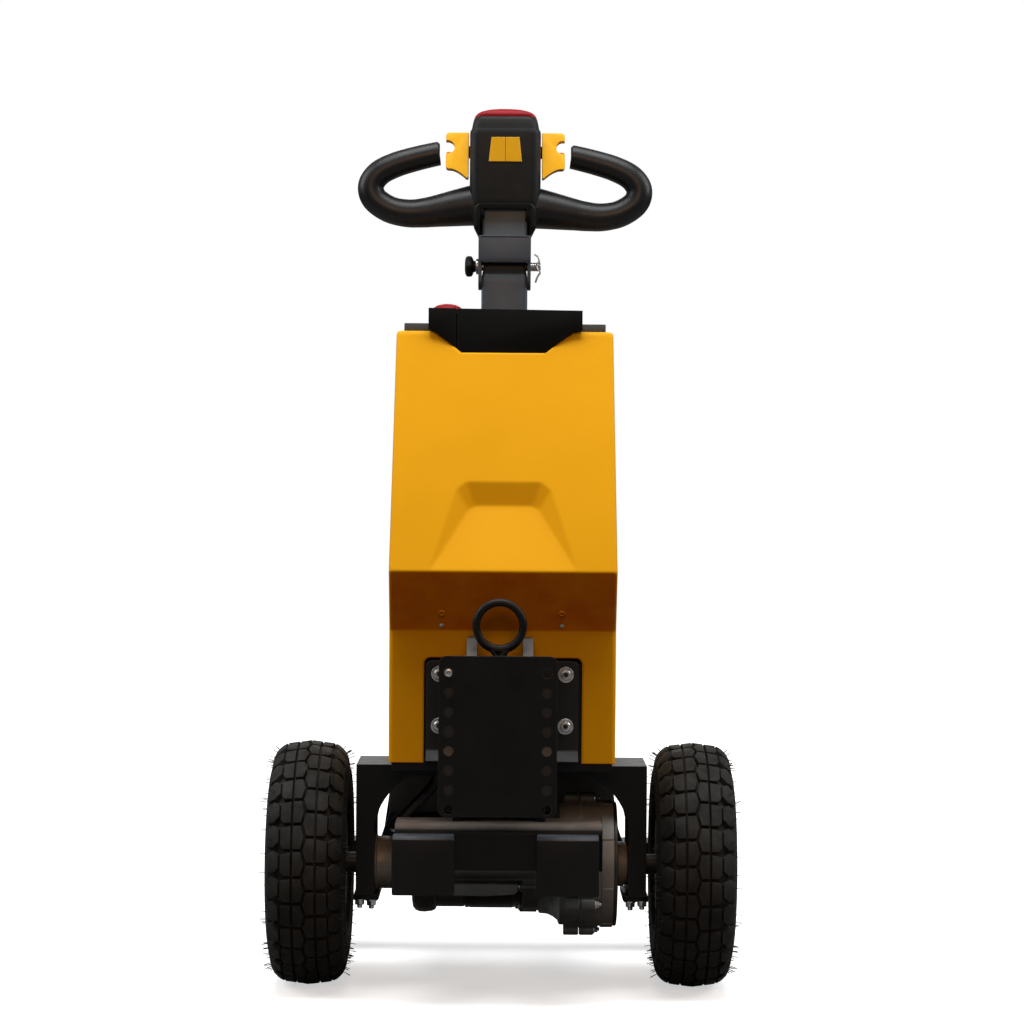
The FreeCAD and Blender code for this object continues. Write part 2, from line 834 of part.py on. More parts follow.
def mount_plate():
    """Bolted plate that carries the coupling, with its lower edge bent forward."""
    y = axle_y - size("base_front")
    thick = size("mount_thick")
    body = new_body("MountPlate", (0, y, size("mount_bottom")))
    sketch = new_sketch(body, "XZ_Plane", "MountOutline")
    half = size("mount_width") / 2
    high = size("mount_height")
    polygon(sketch, [(-half, 14), (half, 14), (half, high), (-half, high)])
    pad(body, sketch, thick)
    round_edges(body, 8, lambda edge: runs_along(Vector(0, 1, 0))(edge)
                and edge.BoundBox.ZMax > 100)
    lip = new_body("MountLip", (-half, y, size("mount_bottom")))
    profile = new_sketch(lip, "YZ_Plane", "MountLipSection")
    polygon(profile, [(-thick, 14), (0, 14), (-12, 0), (-12 - thick, 0)])
    pad(lip, profile, size("mount_width"))
    return finish(fuse("Mount", [body, lip]), "mount_plate")


def coupling_bracket():
    """Two upright cheeks and two cross blocks between mount plate and coupling plate."""
    x = -size("cheek_shift")
    back = axle_y - size("base_front") - size("mount_thick")
    front = axle_y - size("plate_front") + size("plate_thick")
    pin_y = axle_y - size("tow_pin_y")
    inner = size("cheek_gap") / 2
    thick = size("cheek_thick")
    low, step, top = size("cheek_low"), size("cheek_step"), size("cheek_top")
    parts = []
    for side, sign in SIDES:
        low_x = x + inner if sign > 0 else x - inner - thick
        body = new_body("Cheek" + side.title(), (low_x, 0, 0))
        sketch = new_sketch(body, "YZ_Plane", "CheekPlate" + side.title())
        polygon(sketch, [
            (back, low), (front, low), (front, step), (front + size("cheek_setback"), top),
            (back - 14, top), (back, top - 14),
        ])
        pad(body, sketch, thick)
        parts.append(body)
    for name, z in (("Low", size("block_low")), ("High", size("block_high"))):
        parts.append(box("CrossBlock" + name,
                         (2 * inner + 2, size("block_depth"), size("block_thick")),
                         (x - inner - 1, pin_y - 14, z)))
    joined = fuse("BracketJoined", parts)
    bore = cylinder("BracketBore", size("tow_pin_diameter") / 2 + 0.3, 200,
                    (-size("plate_shift"), pin_y, low - 40))
    return finish(cut("CouplingBracket", joined, [bore]), "coupling_bracket")


def coupling_plate():
    """Front plate with two columns of bolt holes, and the lug behind it for the pin."""
    x = -size("plate_shift")
    back = axle_y - size("plate_front") + size("plate_thick")
    body = new_body("PlateSlab", (x, back, size("plate_bottom")))
    sketch = new_sketch(body, "XZ_Plane", "PlateOutline")
    half = size("plate_width") / 2
    polygon(sketch, [(-half, 0), (half, 0), (half, size("plate_height")),
                     (-half, size("plate_height"))])
    pad(body, sketch, size("plate_thick"))
    round_edges(body, 10, runs_along(Vector(0, 1, 0)))
    holes = new_sketch(body, "XZ_Plane", "PlateHoles")
    for sign in (-1, 1):
        for row in range(8):
            circle(holes, (sign * size("hole_columns") / 2,
                           size("hole_margin") + row * size("hole_pitch")),
                   size("hole_diameter") / 2)
    pocket(body, holes, size("plate_thick") + 1, reverse=True)
    lug_wide = size("plate_lug_width")
    lug = box("PlateLug", (lug_wide, size("plate_lug_depth"), size("plate_lug_height")),
              (x - lug_wide / 2, back - 1, size("plate_lug_bottom")))
    bore = cylinder("PlateLugBore", size("tow_pin_diameter") / 2 + 0.3, 200,
                    (x, axle_y - size("tow_pin_y"), 300))
    return finish(cut("CouplingPlate", fuse("PlateJoined", [body, lug]), [bore]),
                  "coupling_plate")


def tow_pin():
    """Lift-out locking pin with its pull ring."""
    x, y = -size("plate_shift"), axle_y - size("tow_pin_y")
    top = size("tow_pin_top")
    length = size("tow_pin_length")
    radius = size("tow_pin_diameter") / 2
    shank = cylinder("PinShank", radius, length, (x, y, top - length))
    collar = cylinder("PinCollar", radius + 3, 6, (x, y, top))
    ring = doc.addObject("Part::Torus", "PinRing")
    bind(ring, "Radius1", size("ring_radius"))
    bind(ring, "Radius2", size("ring_wire") / 2)
    place(ring, (x, y, top + size("ring_radius") + 12), Vector(1, 0, 0), 90)
    neck = cylinder("PinNeck", 6.5, 12, (x, y, top + 5))
    return finish(fuse("TowPin", [shank, collar, neck, ring]), "tow_pin")


# ---------------------------------------------------------------- cover and body

def cover_profile(inset):
    """Side outline of the cover, moved inwards by a wall's thickness."""
    return [
        (-size("cover_face") + inset, size("cover_bottom")),
        (-size("cover_face") + inset, size("cover_knee_low") + inset * 0.3),
        (-size("cover_nose") + inset * 1.3, size("cover_knee") + inset * 0.1),
        (-size("cover_brow") + inset * 0.8, size("cover_top") - inset),
        (size("cover_ridge") - inset * 0.5, size("cover_top") - inset),
        (size("cover_back") - inset, size("cover_back_top") - inset * 0.6),
        (size("cover_back") - inset, size("cover_bottom")),
    ]


def front_cover():
    """Folded sheet cover: front, sides and top, open below and at the back."""
    wall = size("cover_wall")
    half = size("cover_width") / 2
    body = new_body("FrontCover", (0, axle_y, 0))
    outline = new_sketch(body, "YZ_Plane", "CoverSide", -half)
    polygon(outline, cover_profile(0))
    pad(body, outline, size("cover_width"))
    taper = new_sketch(body, "XZ_Plane", "CoverTaper", size("cover_nose") + 1)
    top_half = size("cover_top_width") / 2
    for sign in (-1, 1):
        polygon(taper, [
            (sign * half, size("cover_knee")),
            (sign * (half + 5), size("cover_knee")),
            (sign * (half + 5), size("cover_top") + 5),
            (sign * top_half, size("cover_top") + 5),
        ])
    pocket(body, taper, size("cover_nose") + size("cover_back") + 2)
    hollow = new_sketch(body, "YZ_Plane", "CoverInside", -top_half + wall)
    inside = cover_profile(wall)
    inside[0] = (inside[0][0], size("cover_bottom") - 1)
    inside[-1] = (size("cover_back") + 1, size("cover_bottom") - 1)
    inside[-2] = (size("cover_back") + 1, size("cover_back_top") - wall * 1.6)
    polygon(hollow, inside)
    pocket(body, hollow, size("cover_top_width") - 2 * wall, reverse=True)
    notches = new_sketch(body, "XZ_Plane", "CoverNotches", size("cover_nose") + 1)
    notch_top = size("cover_top") + 1
    polygon(notches, [
        (-size("notch_top_half"), notch_top), (-size("notch_foot_half"), size("notch_foot")),
        (size("notch_foot_half"), size("notch_foot")), (size("notch_top_half"), notch_top),
    ])
    low = size("cover_bottom") - 1
    gap = size("mount_width") / 2 + 3
    high = size("mount_bottom") + size("mount_height") + 4
    polygon(notches, [(-gap, low), (gap, low), (gap, high), (-gap, high)])
    pocket(body, notches, size("cover_nose") + 14)
    hatch = new_sketch(body, "XY_Plane", "CoverHatch", size("cover_top") + 1)
    wide, ahead, behind = size("hatch_half"), size("hatch_front"), size("hatch_back")
    polygon(hatch, [(-wide, -ahead), (wide, -ahead), (wide, behind), (-wide, behind)])
    pocket(body, hatch, wall + 3)
    return finish(body, "front_cover")


def rear_panel():
    """Flat service panel that closes the cover on the operator's side."""
    wall = size("cover_wall")
    half = size("cover_top_width") / 2 - wall - 1
    body = new_body("RearPanel", (0, axle_y + size("cover_back"), 0))
    sketch = new_sketch(body, "XZ_Plane", "RearPanelOutline", 4)
    low = size("cover_bottom")
    high = size("cover_back_top") - 12
    polygon(sketch, [(-half, low), (half, low), (half, high), (-half, high)])
    pad(body, sketch, 4)
    return finish(body, "rear_panel")


def battery_pack():
    """Two sealed batteries as one plain block on the base plate."""
    block = box("BatteryPack", (260, 146, 230),
                (-130, axle_y + 84, size("beam_top") + size("base_thick")))
    return finish(block, "battery_pack")


def control_box():
    """Black hood in the cover's top notch, with a deck that falls towards the operator."""
    half = size("hood_width") / 2
    body = new_body("ControlBox", (-half, axle_y, 0))
    sketch = new_sketch(body, "YZ_Plane", "HoodSide")
    face = size("cover_brow")
    polygon(sketch, [
        (-face - 8, size("cover_top") + 1.5), (-face + 5, size("hood_top")),
        (16, size("hood_top") - 16), (16, size("cover_top") + 1.5),
    ])
    pad(body, sketch, size("hood_width"))
    tongue = new_body("ControlBoxTongue", (0, axle_y, 0))
    front = new_sketch(tongue, "XZ_Plane", "HoodTongue", -16)
    top_z = size("cover_top") + 2
    polygon(front, [
        (-size("notch_top_half") + 2, top_z),
        (-size("notch_foot_half") + 1, size("notch_foot") + 1.5),
        (size("notch_foot_half") - 1, size("notch_foot") + 1.5),
        (size("notch_top_half") - 2, top_z),
    ])
    pad(tongue, front, face + 24)
    slope = new_sketch(tongue, "YZ_Plane", "HoodTongueSlope", -120)
    slant = (size("cover_nose") - face) / (size("cover_top") - size("cover_knee"))
    low_z = size("notch_foot") - 5
    high_z = size("cover_top") + 5
    top = size("cover_top")
    polygon(slope, [
        (-face - 60, low_z), (-face - 1 - slant * (top - low_z), low_z),
        (-face - 1 + slant * 5, high_z), (-face - 60, high_z),
    ])
    pocket(tongue, slope, 240, reverse=True)
    x, y, z = -size("stop_x"), axle_y + size("stop_y"), size("stop_seat")
    seat = cylinder("StopSeat", size("stop_diameter") / 2 + 1, 20, (x, y, z - 0.3))
    bore = cylinder("StopBore", 11.3, 20, (x, y, z - 5))
    return finish(cut("ControlHood", fuse("HoodJoined", [body, tongue]), [seat, bore]),
                  "control_box")


def deck_plate():
    """Grey cross plate behind the hood that the tiller post passes through."""
    half = size("deck_width") / 2
    slab = box("DeckSlab", (size("deck_width"), size("deck_depth"), size("deck_thick")),
               (-half, axle_y + size("deck_front"), size("cover_top")))
    post = size("post_width") / 2 + 1
    slot = box("DeckSlot", (2 * post, size("post_depth") + 2, 20),
               (-post, axle_y + size("tiller_y") - size("post_depth") / 2 - 1,
                size("cover_top") - 4))
    return finish(cut("DeckPlate", slab, [slot]), "deck_plate")


def emergency_stop():
    """Mushroom push button on the hood's deck."""
    x, y, z = -size("stop_x"), axle_y + size("stop_y"), size("stop_seat")
    stem = cylinder("StopStem", 11, 6, (x, y, z - 5))
    dome = cylinder("StopDome", size("stop_diameter") / 2, 13, (x, y, z))
    soft = rounded("StopDomeSoft", dome, 6, lambda edge: edge.BoundBox.ZMin > z.value + 10
                   and edge.BoundBox.ZLength < 1e-3)
    return finish(fuse("EmergencyStop", [stem, soft]), "emergency_stop")


# ---------------------------------------------------------------- tiller

def tiller_post():
    """Rectangular tube from the base plate up to the tilting joint, round at its top."""
    y = axle_y + size("tiller_y")
    body = new_body("TillerPost", (-size("post_width") / 2, y, 0))
    sketch = new_sketch(body, "YZ_Plane", "PostSide")
    deep = size("post_depth") / 2
    low = size("beam_top") + size("base_thick")
    polygon(sketch, [
        (-deep, low), (deep, low), (deep, size("pivot_z")),
        (-deep, size("pivot_z"), (0, size("pivot_z") + deep)),
    ])
    circle(sketch, (0, size("pivot_z")), size("pivot_diameter") / 2 + 0.05)
    pad(body, sketch, size("post_width"))
    return finish(body, "tiller_post")


def tiller_yoke():
    """Bent channel on the arm's foot that straddles the post."""
    wall = size("yoke_wall")
    inner = size("post_width") / 2 + 1
    y = axle_y + size("tiller_y")
    deep = size("post_depth") / 2
    parts = []
    for side, sign in SIDES:
        low_x = inner if sign > 0 else -inner - wall
        body = new_body("YokeCheek" + side.title(), (low_x, y, 0))
        sketch = new_sketch(body, "YZ_Plane", "YokeSide" + side.title())
        polygon(sketch, [
            (-deep - 8, size("pivot_z") - 14), (-deep + 4, size("pivot_z") - 24),
            (deep - 4, size("pivot_z") - 24), (deep + 4, size("pivot_z") - 12),
            (deep + 4, size("yoke_top")), (-deep - 8, size("yoke_top")),
        ])
        circle(sketch, (0, size("pivot_z")), size("pivot_diameter") / 2 + 0.05)
        pad(body, sketch, wall)
        parts.append(body)
    web = box("YokeWeb", (2 * (inner + wall), wall, size("yoke_top") - size("pivot_z") - 1),
              (-inner - wall, y - deep - 8, size("pivot_z") + 1))
    cap = box("YokeCap", (2 * inner + 2 * wall, 2 * deep + 12, wall),
              (-inner - wall, y - deep - 8, size("yoke_top") - wall))
    return finish(fuse("TillerYoke", parts + [web, cap]), "tiller_yoke")


def tiller_arm():
    """Upper rectangular tube between yoke and head."""
    width = size("arm_width")
    y = axle_y + size("tiller_y")
    tube = box("ArmTube", (width, size("post_depth"), size("arm_top") - size("yoke_top")),
               (-width / 2, y - size("post_depth") / 2, size("yoke_top")))
    return finish(tube, "tiller_arm")


def pivot_pin():
    """Clevis pin through yoke and post."""
    y = axle_y + size("tiller_y")
    reach = size("post_width") / 2 + 1 + size("yoke_wall")
    shank = cylinder("PivotShank", size("pivot_diameter") / 2, 2 * reach + 16,
                     (-reach - 4, y, size("pivot_z")), "x")
    return finish(shank, "pivot_pin")


def lock_knob():
    """Star knob that clamps the joint."""
    y = axle_y + size("tiller_y")
    reach = size("post_width") / 2 + 1 + size("yoke_wall")
    knob = cylinder("KnobStar", 15, 11, (-reach - 19, y, size("pivot_z")), "x")
    stem = cylinder("KnobStem", 7, 4.5, (-reach - 8.5, y, size("pivot_z")), "x")
    return finish(fuse("LockKnob", [knob, stem]), "lock_knob")


def tiller_head():
    """Moulded head over the arm's end."""
    y = axle_y + size("tiller_y")
    half = size("head_width") / 2
    deep = size("head_depth")
    top = size("head_top")
    body = new_body("TillerHead", (0, y + deep / 2, 0))
    sketch = new_sketch(body, "XZ_Plane", "HeadOutline")
    polygon(sketch, [
        (-33, top - 177), (33, top - 177), (half, top - 163), (half, top - 30),
        (half - 4, top - 24), (half - 8, top - 10), (-half + 8, top - 10),
        (-half + 4, top - 24), (-half, top - 30), (-half, top - 163),
    ])
    pad(body, sketch, deep)
    round_edges(body, 12, runs_along(Vector(0, 0, 1)))
    slot = box("HeadSlot", (size("arm_width") + 0.6, size("post_depth") + 0.6, 150),
               (-size("arm_width") / 2 - 0.3, y - size("post_depth") / 2 - 0.3,
                size("arm_top") - 149.7))
    return finish(cut("HeadShell", body, [slot]), "tiller_head")


def reverse_button():
    """Red safety button across the tip of the head."""
    y = axle_y + size("tiller_y")
    deep = size("head_depth") - 12
    top = size("head_top")
    body = new_body("ReverseButton", (0, y + deep / 2, 0))
    sketch = new_sketch(body, "XZ_Plane", "ButtonOutline")
    half = size("head_width") / 2 - 8
    polygon(sketch, [
        (-half, top - 9.7), (half, top - 9.7), (half - 9, top - 1.5),
        (-half + 9, top - 1.5, (0, top)),
    ])
    pad(body, sketch, deep)
    return finish(body, "reverse_button")


def throttle(side, sign):
    """Butterfly throttle beside the head."""
    y = axle_y + size("tiller_y")
    half = size("head_width") / 2
    body = new_body("Throttle" + side.title(), (0, y + 15, 0))
    sketch = new_sketch(body, "XZ_Plane", "ThrottleOutline" + side.title())
    inner, outer = sign * (half + 1), sign * (half + 34)
    high = size("head_top") - 33
    polygon(sketch, [
        (inner, high), (outer, high), (outer, high - 12),
        (outer, high - 28, (outer - sign * 8, high - 20)), (outer, high - 50),
        (inner, high - 62),
    ])
    pad(body, sketch, 30)
    return finish(body, "throttle_" + side)


def handle_loop(side, sign):
    """Open grip loop: out from the head, round, and back to a free end."""
    y = axle_y + size("tiller_y")
    top = size("head_top").value
    corners = [
        (25, top - 133), (120, top - 147.5), (162, top - 146.5), (190, top - 128),
        (190.5, top - 99), (160, top - 83), (93.5, top - 64.6),
    ]
    route = [Vector(sign * x, y.value, z) for x, z in corners]
    wire, solid = swept_tube(route, size("loop_tube").value / 2)
    root = Part.makeCone(28, size("loop_tube").value / 2 + 0.05, 92,
                         Vector(sign * 36, y.value, top - 134.7), Vector(sign * 95, 0, -14.5))
    joined = solid.fuse(root).removeSplitter()
    block = Part.makeBox(100, 100, 200,
                         Vector(min(sign * 47.8, sign * 147.8) - sign * 100, y.value - 50, top - 240))
    feature = doc.addObject("Part::Feature", "HandleLoop" + side.title())
    feature.Shape = joined.cut(block)
    return finish(feature, "handle_loop_" + side)


for side, sign in SIDES:
    tyre(side, sign)
    rim(side, sign)
    hub(side, sign)
axle_frame()
base_plate()
chassis_box()
rear_bracket()
caster_beam()
for side, sign in SIDES:
    caster(side, sign)
gearbox()
axle_tube()
motor()
motor_cable()
front_guard()
bumper_pad("left", -size("pad_left_x"))
bumper_pad("right", size("pad_right_x"))
mount_plate()
coupling_bracket()
coupling_plate()
tow_pin()
front_cover()
rear_panel()
battery_pack()
control_box()
deck_plate()
emergency_stop()
tiller_post()
tiller_yoke()
tiller_arm()
pivot_pin()
lock_knob()
tiller_head()
reverse_button()
for side, sign in SIDES:
    throttle(side, sign)
    handle_loop(side, sign)
doc.recompute()

for item in doc.Objects:
    if "Invalid" in item.State or "Error" in item.State:
        raise RuntimeError("%s failed: %s" % (item.Name, item.getStatusString()))
for item in SUBPARTS:
    if item.Shape.isNull() or not item.Shape.isValid():
        raise RuntimeError("%s has no valid shape" % item.Label)

os.makedirs("parts", exist_ok=True)
for item in SUBPARTS:
    item.Shape.exportStep("parts/%s.step" % item.Label)
    print("%-20s %2d solid(s) %9.1f cm3" % (
        item.Label, len(item.Shape.Solids), item.Shape.Volume / 1000))
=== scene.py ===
# %% [markdown]
# # A walk-behind electric tug, dressed for rendering
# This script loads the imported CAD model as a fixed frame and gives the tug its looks. Each step
# says what a piece is on the real machine, how it could be made, and why it is made this way.
# Most pieces are surfaces worked out with numpy: loops of points joined into a skin.

# %% Load the frame
import json
import math

import bmesh
import bpy
import numpy as np
from mathutils import Matrix, Vector


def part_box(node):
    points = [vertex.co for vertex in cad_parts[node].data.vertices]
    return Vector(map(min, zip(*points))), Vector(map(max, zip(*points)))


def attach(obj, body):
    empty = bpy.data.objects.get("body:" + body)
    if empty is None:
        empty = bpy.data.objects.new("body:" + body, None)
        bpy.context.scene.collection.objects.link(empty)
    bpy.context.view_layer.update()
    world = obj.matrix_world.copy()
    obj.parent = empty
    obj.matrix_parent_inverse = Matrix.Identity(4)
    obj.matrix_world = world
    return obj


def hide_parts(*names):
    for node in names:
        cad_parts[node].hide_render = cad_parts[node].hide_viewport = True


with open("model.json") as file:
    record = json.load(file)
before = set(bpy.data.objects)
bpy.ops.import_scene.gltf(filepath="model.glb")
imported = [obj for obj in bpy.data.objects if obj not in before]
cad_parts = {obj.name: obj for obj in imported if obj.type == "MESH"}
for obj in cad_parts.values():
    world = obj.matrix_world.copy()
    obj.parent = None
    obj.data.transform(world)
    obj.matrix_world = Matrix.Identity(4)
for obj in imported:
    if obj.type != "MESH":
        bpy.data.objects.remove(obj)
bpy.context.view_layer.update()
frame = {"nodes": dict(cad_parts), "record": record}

# %% [markdown]
# ## Working units
# The machine was drawn in millimetres from the drive axle: x across, y from the axle towards
# the operator, z up from the floor. Shapes stay easy to read when they are computed in those
# units and moved into the frame once, so one function does the move for every piece.

# %% Millimetres from the axle
left_tyre_middle = sum(np.array(corner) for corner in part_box("tyre_left")) / 2 * 1000
WHEEL_X, AXLE_Y, AXLE_Z = (left_tyre_middle * [-1, 1, 1]).tolist()
SIDES = ((-1, "left"), (1, "right"))
print("axle at y %.1f z %.1f, wheels at x %.1f" % (AXLE_Y, AXLE_Z, WHEEL_X))


def to_frame(points):
    """Tug millimetres to frame metres: add the axle's y, then divide by a thousand."""
    return (np.asarray(points, float).reshape(-1, 3) + [0, AXLE_Y, 0]) / 1000


# %% [markdown]
# ## Loops and skins
# A skin is a stack of closed loops with the same number of points, joined by four-sided faces.
# Boxes, turned parts, tubes and castings are all such stacks, so one function for the faces
# serves them all, and the ends are closed by one many-sided face each.

# %% Turns, directions and lengths
def full_turn(count):
    """Evenly spaced angles of a full turn, in radians."""
    return np.linspace(0, 2 * math.pi, count, endpoint=False)


def unit(vectors):
    """Each vector divided by its length."""
    vectors = np.asarray(vectors, float)
    return vectors / np.linalg.norm(vectors, axis=-1, keepdims=True)


def run_along(path):
    """The length of a path from its start to each of its points."""
    return np.concatenate([[0], np.cumsum(np.linalg.norm(np.diff(path, axis=0), axis=1))])


print("a path of two 5 mm steps ends at", run_along([(0, 0), (3, 4), (6, 8)])[-1])

# %% Faces between loops
def skin_faces(rows, cols, ring=False):
    """Quads between rows of closed loops of cols points; ring joins the last row to the first."""
    row = np.arange(rows if ring else rows - 1)[:, None]
    col = np.arange(cols)[None, :]
    below = row * cols
    above = (row + 1) % rows * cols
    right = (col + 1) % cols
    quads = np.stack([below + col, below + right, above + right, above + col], axis=-1)
    return quads.reshape(-1, 4)


def loft(loops, ring=False):
    """A solid from loops (rows, cols, 3): side quads, and one face on each end if not a ring."""
    loops = np.asarray(loops, float)
    rows, cols = loops.shape[:2]
    faces = skin_faces(rows, cols, ring).tolist()
    if not ring:
        faces.append(list(range(cols))[::-1])
        faces.append(list(range((rows - 1) * cols, rows * cols)))
    return loops.reshape(-1, 3), faces


def joined(parts):
    """Several (points, faces) as one, with the indices of each moved past the last."""
    points, faces, used = [], [], 0
    for some_points, some_faces in parts:
        points.append(some_points)
        faces.extend([[used + index for index in face] for face in some_faces])
        used += len(some_points)
    return np.concatenate(points), faces


print("a ring of 3 loops of 4 points has", len(skin_faces(3, 4, ring=True)), "faces")

# %% [markdown]
# ## From numbers to an object
# A mesh object needs its points, its faces, outward normals, a material and a body to ride on.
# Sharp edges are marked by angle, so that a turned face looks round and its rim stays crisp,
# and an optional bevel rounds the edges enough to catch a line of light.

# %% Clean mesh, dressed object
MERGE_METRES, FLAT_DEGREES, BEVEL_DEGREES = 1e-6, 1, 35


def cleaned(mesh, join_flat=False):
    """Merge double points, join flat faces if asked, and turn every face outwards."""
    work = bmesh.new()
    work.from_mesh(mesh)
    bmesh.ops.remove_doubles(work, verts=work.verts, dist=MERGE_METRES)
    if join_flat:
        bmesh.ops.dissolve_limit(work, angle_limit=math.radians(FLAT_DEGREES),
                                 verts=work.verts, edges=work.edges)
    bmesh.ops.recalc_face_normals(work, faces=work.faces)
    work.to_mesh(mesh)
    work.free()


def dressed(name, mesh, finish, body, crease, bevel, nodes):
    """An object that rides on a body: smooth up to a crease angle, its edges bevelled.
    """
    mesh.shade_smooth()
    mesh.set_sharp_from_angle(angle=math.radians(crease))
    mesh.materials.append(FINISH[finish])
    piece = bpy.data.objects.new(name, mesh)
    bpy.context.scene.collection.objects.link(piece)
    if bevel:
        rounding = piece.modifiers.new("Bevel", "BEVEL")
        rounding.width = bevel / 1000
        rounding.segments = 2
        rounding.limit_method = "ANGLE"
        rounding.angle_limit = math.radians(BEVEL_DEGREES)
        rounding.harden_normals = True
    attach(piece, body)
    if nodes:
        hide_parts(*nodes)
    return piece


# %% Making a piece
def make_piece(name, shape, finish, body, bevel=0.0, crease=35, nodes=(), closed=True):
    """A piece from (points in tug millimetres, faces).

    The faces of a closed shape are turned outwards; those of an open one point outwards already.
    """
    points, faces = shape
    mesh = bpy.data.meshes.new(name)
    mesh.from_pydata(to_frame(points).tolist(), [], [list(face) for face in faces])
    if closed:
        cleaned(mesh)
    return dressed(name, mesh, finish, body, crease, bevel, nodes)


print("every piece's mesh is moved by", to_frame(np.zeros(3))[0], "metres")

# %% [markdown]
# ## Softened copies of CAD parts
# Plates and tubes have the right shape in the CAD already; they only lack the small radius of a
# cut or bent edge. A copy of the node is merged, its flat triangles are joined into faces, and a
# bevel rounds its edges. The node itself stays as it was, hidden behind the copy.

# %% Softened copy of a node
BODY_OF = {node: body for body, nodes in frame["record"]["behaviour"]["bodies"].items()
           for node in nodes}


def softened(node, finish, width):
    """A merged copy of a CAD node with bevelled edges that stands for the node."""
    mesh = frame["nodes"][node].data.copy()
    cleaned(mesh, join_flat=True)
    for layer in list(mesh.attributes):
        if layer.name == "custom_normal":
            mesh.attributes.remove(layer)
    mesh.materials.clear()
    return dressed("soft_" + node, mesh, finish, BODY_OF[node], 30, width, [node])


# %% [markdown]
# ## The camera
# The viewer stands four metres in front of the axle with the camera at 0.7 m, a long lens and
# a very slight downward tilt. A short turn and roll frame the machine.

# %% Camera
AXLE = AXLE_Y / 1000
PITCH, YAW, ROLL = (math.radians(degrees) for degrees in (0.818, 0.162, 0.43))
scene = bpy.context.scene
camera_data = bpy.data.cameras.new("front_camera")
camera_data.sensor_width = 36.0
camera_data.lens = 103.46
camera = bpy.data.objects.new("front_camera", camera_data)
camera.location = (0.0, AXLE - 4.0, 0.700)
camera.rotation_euler = (Matrix.Rotation(-YAW, 3, "Z") @ Matrix.Rotation(math.pi / 2 - PITCH, 3, "X")
                         @ Matrix.Rotation(ROLL, 3, "Z")).to_euler()
scene.collection.objects.link(camera)
scene.camera = camera
print("camera at", [round(value, 3) for value in camera.location])

# %% [markdown]
# ## Light and floor
# Soft boxes stand on both sides and one hangs above, so tops and leaning faces are bright and
# upright faces stay calm. A warm one in front and a weak one behind fill in. The floor and the
# surroundings look white to the camera and to reflections, but throw little light back, so
# undersides stay dark. The floor keeps the shadow.

# %% Nodes and world
def wired(tree, kind, output, inputs, **settings):
    """Add a node, set it up, give each input a value or a socket, and return one output."""
    node = tree.nodes.new("ShaderNode" + kind)
    for name, value in settings.items():
        setattr(node, name, value)
    for name, value in inputs.items():
        if isinstance(value, bpy.types.NodeSocket):
            tree.links.new(value, node.inputs[name])
        else:
            node.inputs[name].default_value = value
    return node.outputs[output]


def product(tree, first, second):
    """Two numbers multiplied, each a socket or a value."""
    return wired(tree, "Math", "Value", {0: first, 1: second}, operation="MULTIPLY")


def ray_level(tree, camera_level, glossy_level, other_level):
    """A number by kind of ray: what the camera, a reflection, and all other rays see."""
    ray = tree.nodes.new("ShaderNodeLightPath").outputs
    seen = wired(tree, "Math", "Value",
                 {0: ray["Is Camera Ray"], 1: ray["Is Transmission Ray"]}, operation="MAXIMUM")
    unseen = wired(tree, "Mix", "Result", {"Factor": ray["Is Glossy Ray"], "A": other_level,
                                           "B": glossy_level}, data_type="FLOAT")
    return wired(tree, "Mix", "Result", {"Factor": seen, "A": unseen, "B": camera_level},
                 data_type="FLOAT")


scene.view_settings.view_transform = "Standard"
world = bpy.data.worlds.new("studio")
scene.world = world
world.use_nodes = True
sky = world.node_tree.nodes["Background"]
sky.inputs["Color"].default_value = (1, 1, 1, 1)
world.node_tree.links.new(ray_level(world.node_tree, 1.0, 0.2, 0.055), sky.inputs["Strength"])
print("the world is white to the camera, 0.055 as a lamp")

# %% Floor
FLOOR_REACH = 30.0


def floor_material():
    """A white floor to the eye, a grey one to the light that bounces off it.

    Its glow rises smoothly with the distance from the middle, so that the shadow near the
    machine stays and the far floor melts into the surroundings.
    """
    material = bpy.data.materials.new("studio_floor")
    material.use_nodes = True
    tree = material.node_tree
    shader = tree.nodes["Principled BSDF"]
    shader.inputs["Roughness"].default_value = 0.9
    shader.inputs["Specular IOR Level"].default_value = 0.0
    shader.inputs["Emission Color"].default_value = (1, 1, 1, 1)
    level = ray_level(tree, 0.95, 0.3, 0.06)
    tone = wired(tree, "CombineColor", "Color", {"Red": level, "Green": level, "Blue": level})
    tree.links.new(tone, shader.inputs["Base Color"])
    place = tree.nodes.new("ShaderNodeTexCoord").outputs["Object"]
    away = wired(tree, "VectorMath", "Value", {0: place}, operation="LENGTH")
    glow = wired(tree, "MapRange", "Result",
                 {"Value": away, "From Min": 0.4, "From Max": 3.0, "To Min": 0.55,
                  "To Max": 0.95}, interpolation_type="SMOOTHSTEP")
    tree.links.new(product(tree, ray_level(tree, 1.0, 0.0, 0.0), glow),
                   shader.inputs["Emission Strength"])
    return material


floor_mesh = bpy.data.meshes.new("floor")
floor_mesh.from_pydata([(x * FLOOR_REACH, y * FLOOR_REACH, 0)
                        for x, y in ((-1, -1), (1, -1), (1, 1), (-1, 1))], [], [(0, 1, 2, 3)])
floor_mesh.materials.append(floor_material())
floor = bpy.data.objects.new("floor", floor_mesh)
scene.collection.objects.link(floor)
print("floor of", 2 * FLOOR_REACH, "metres")

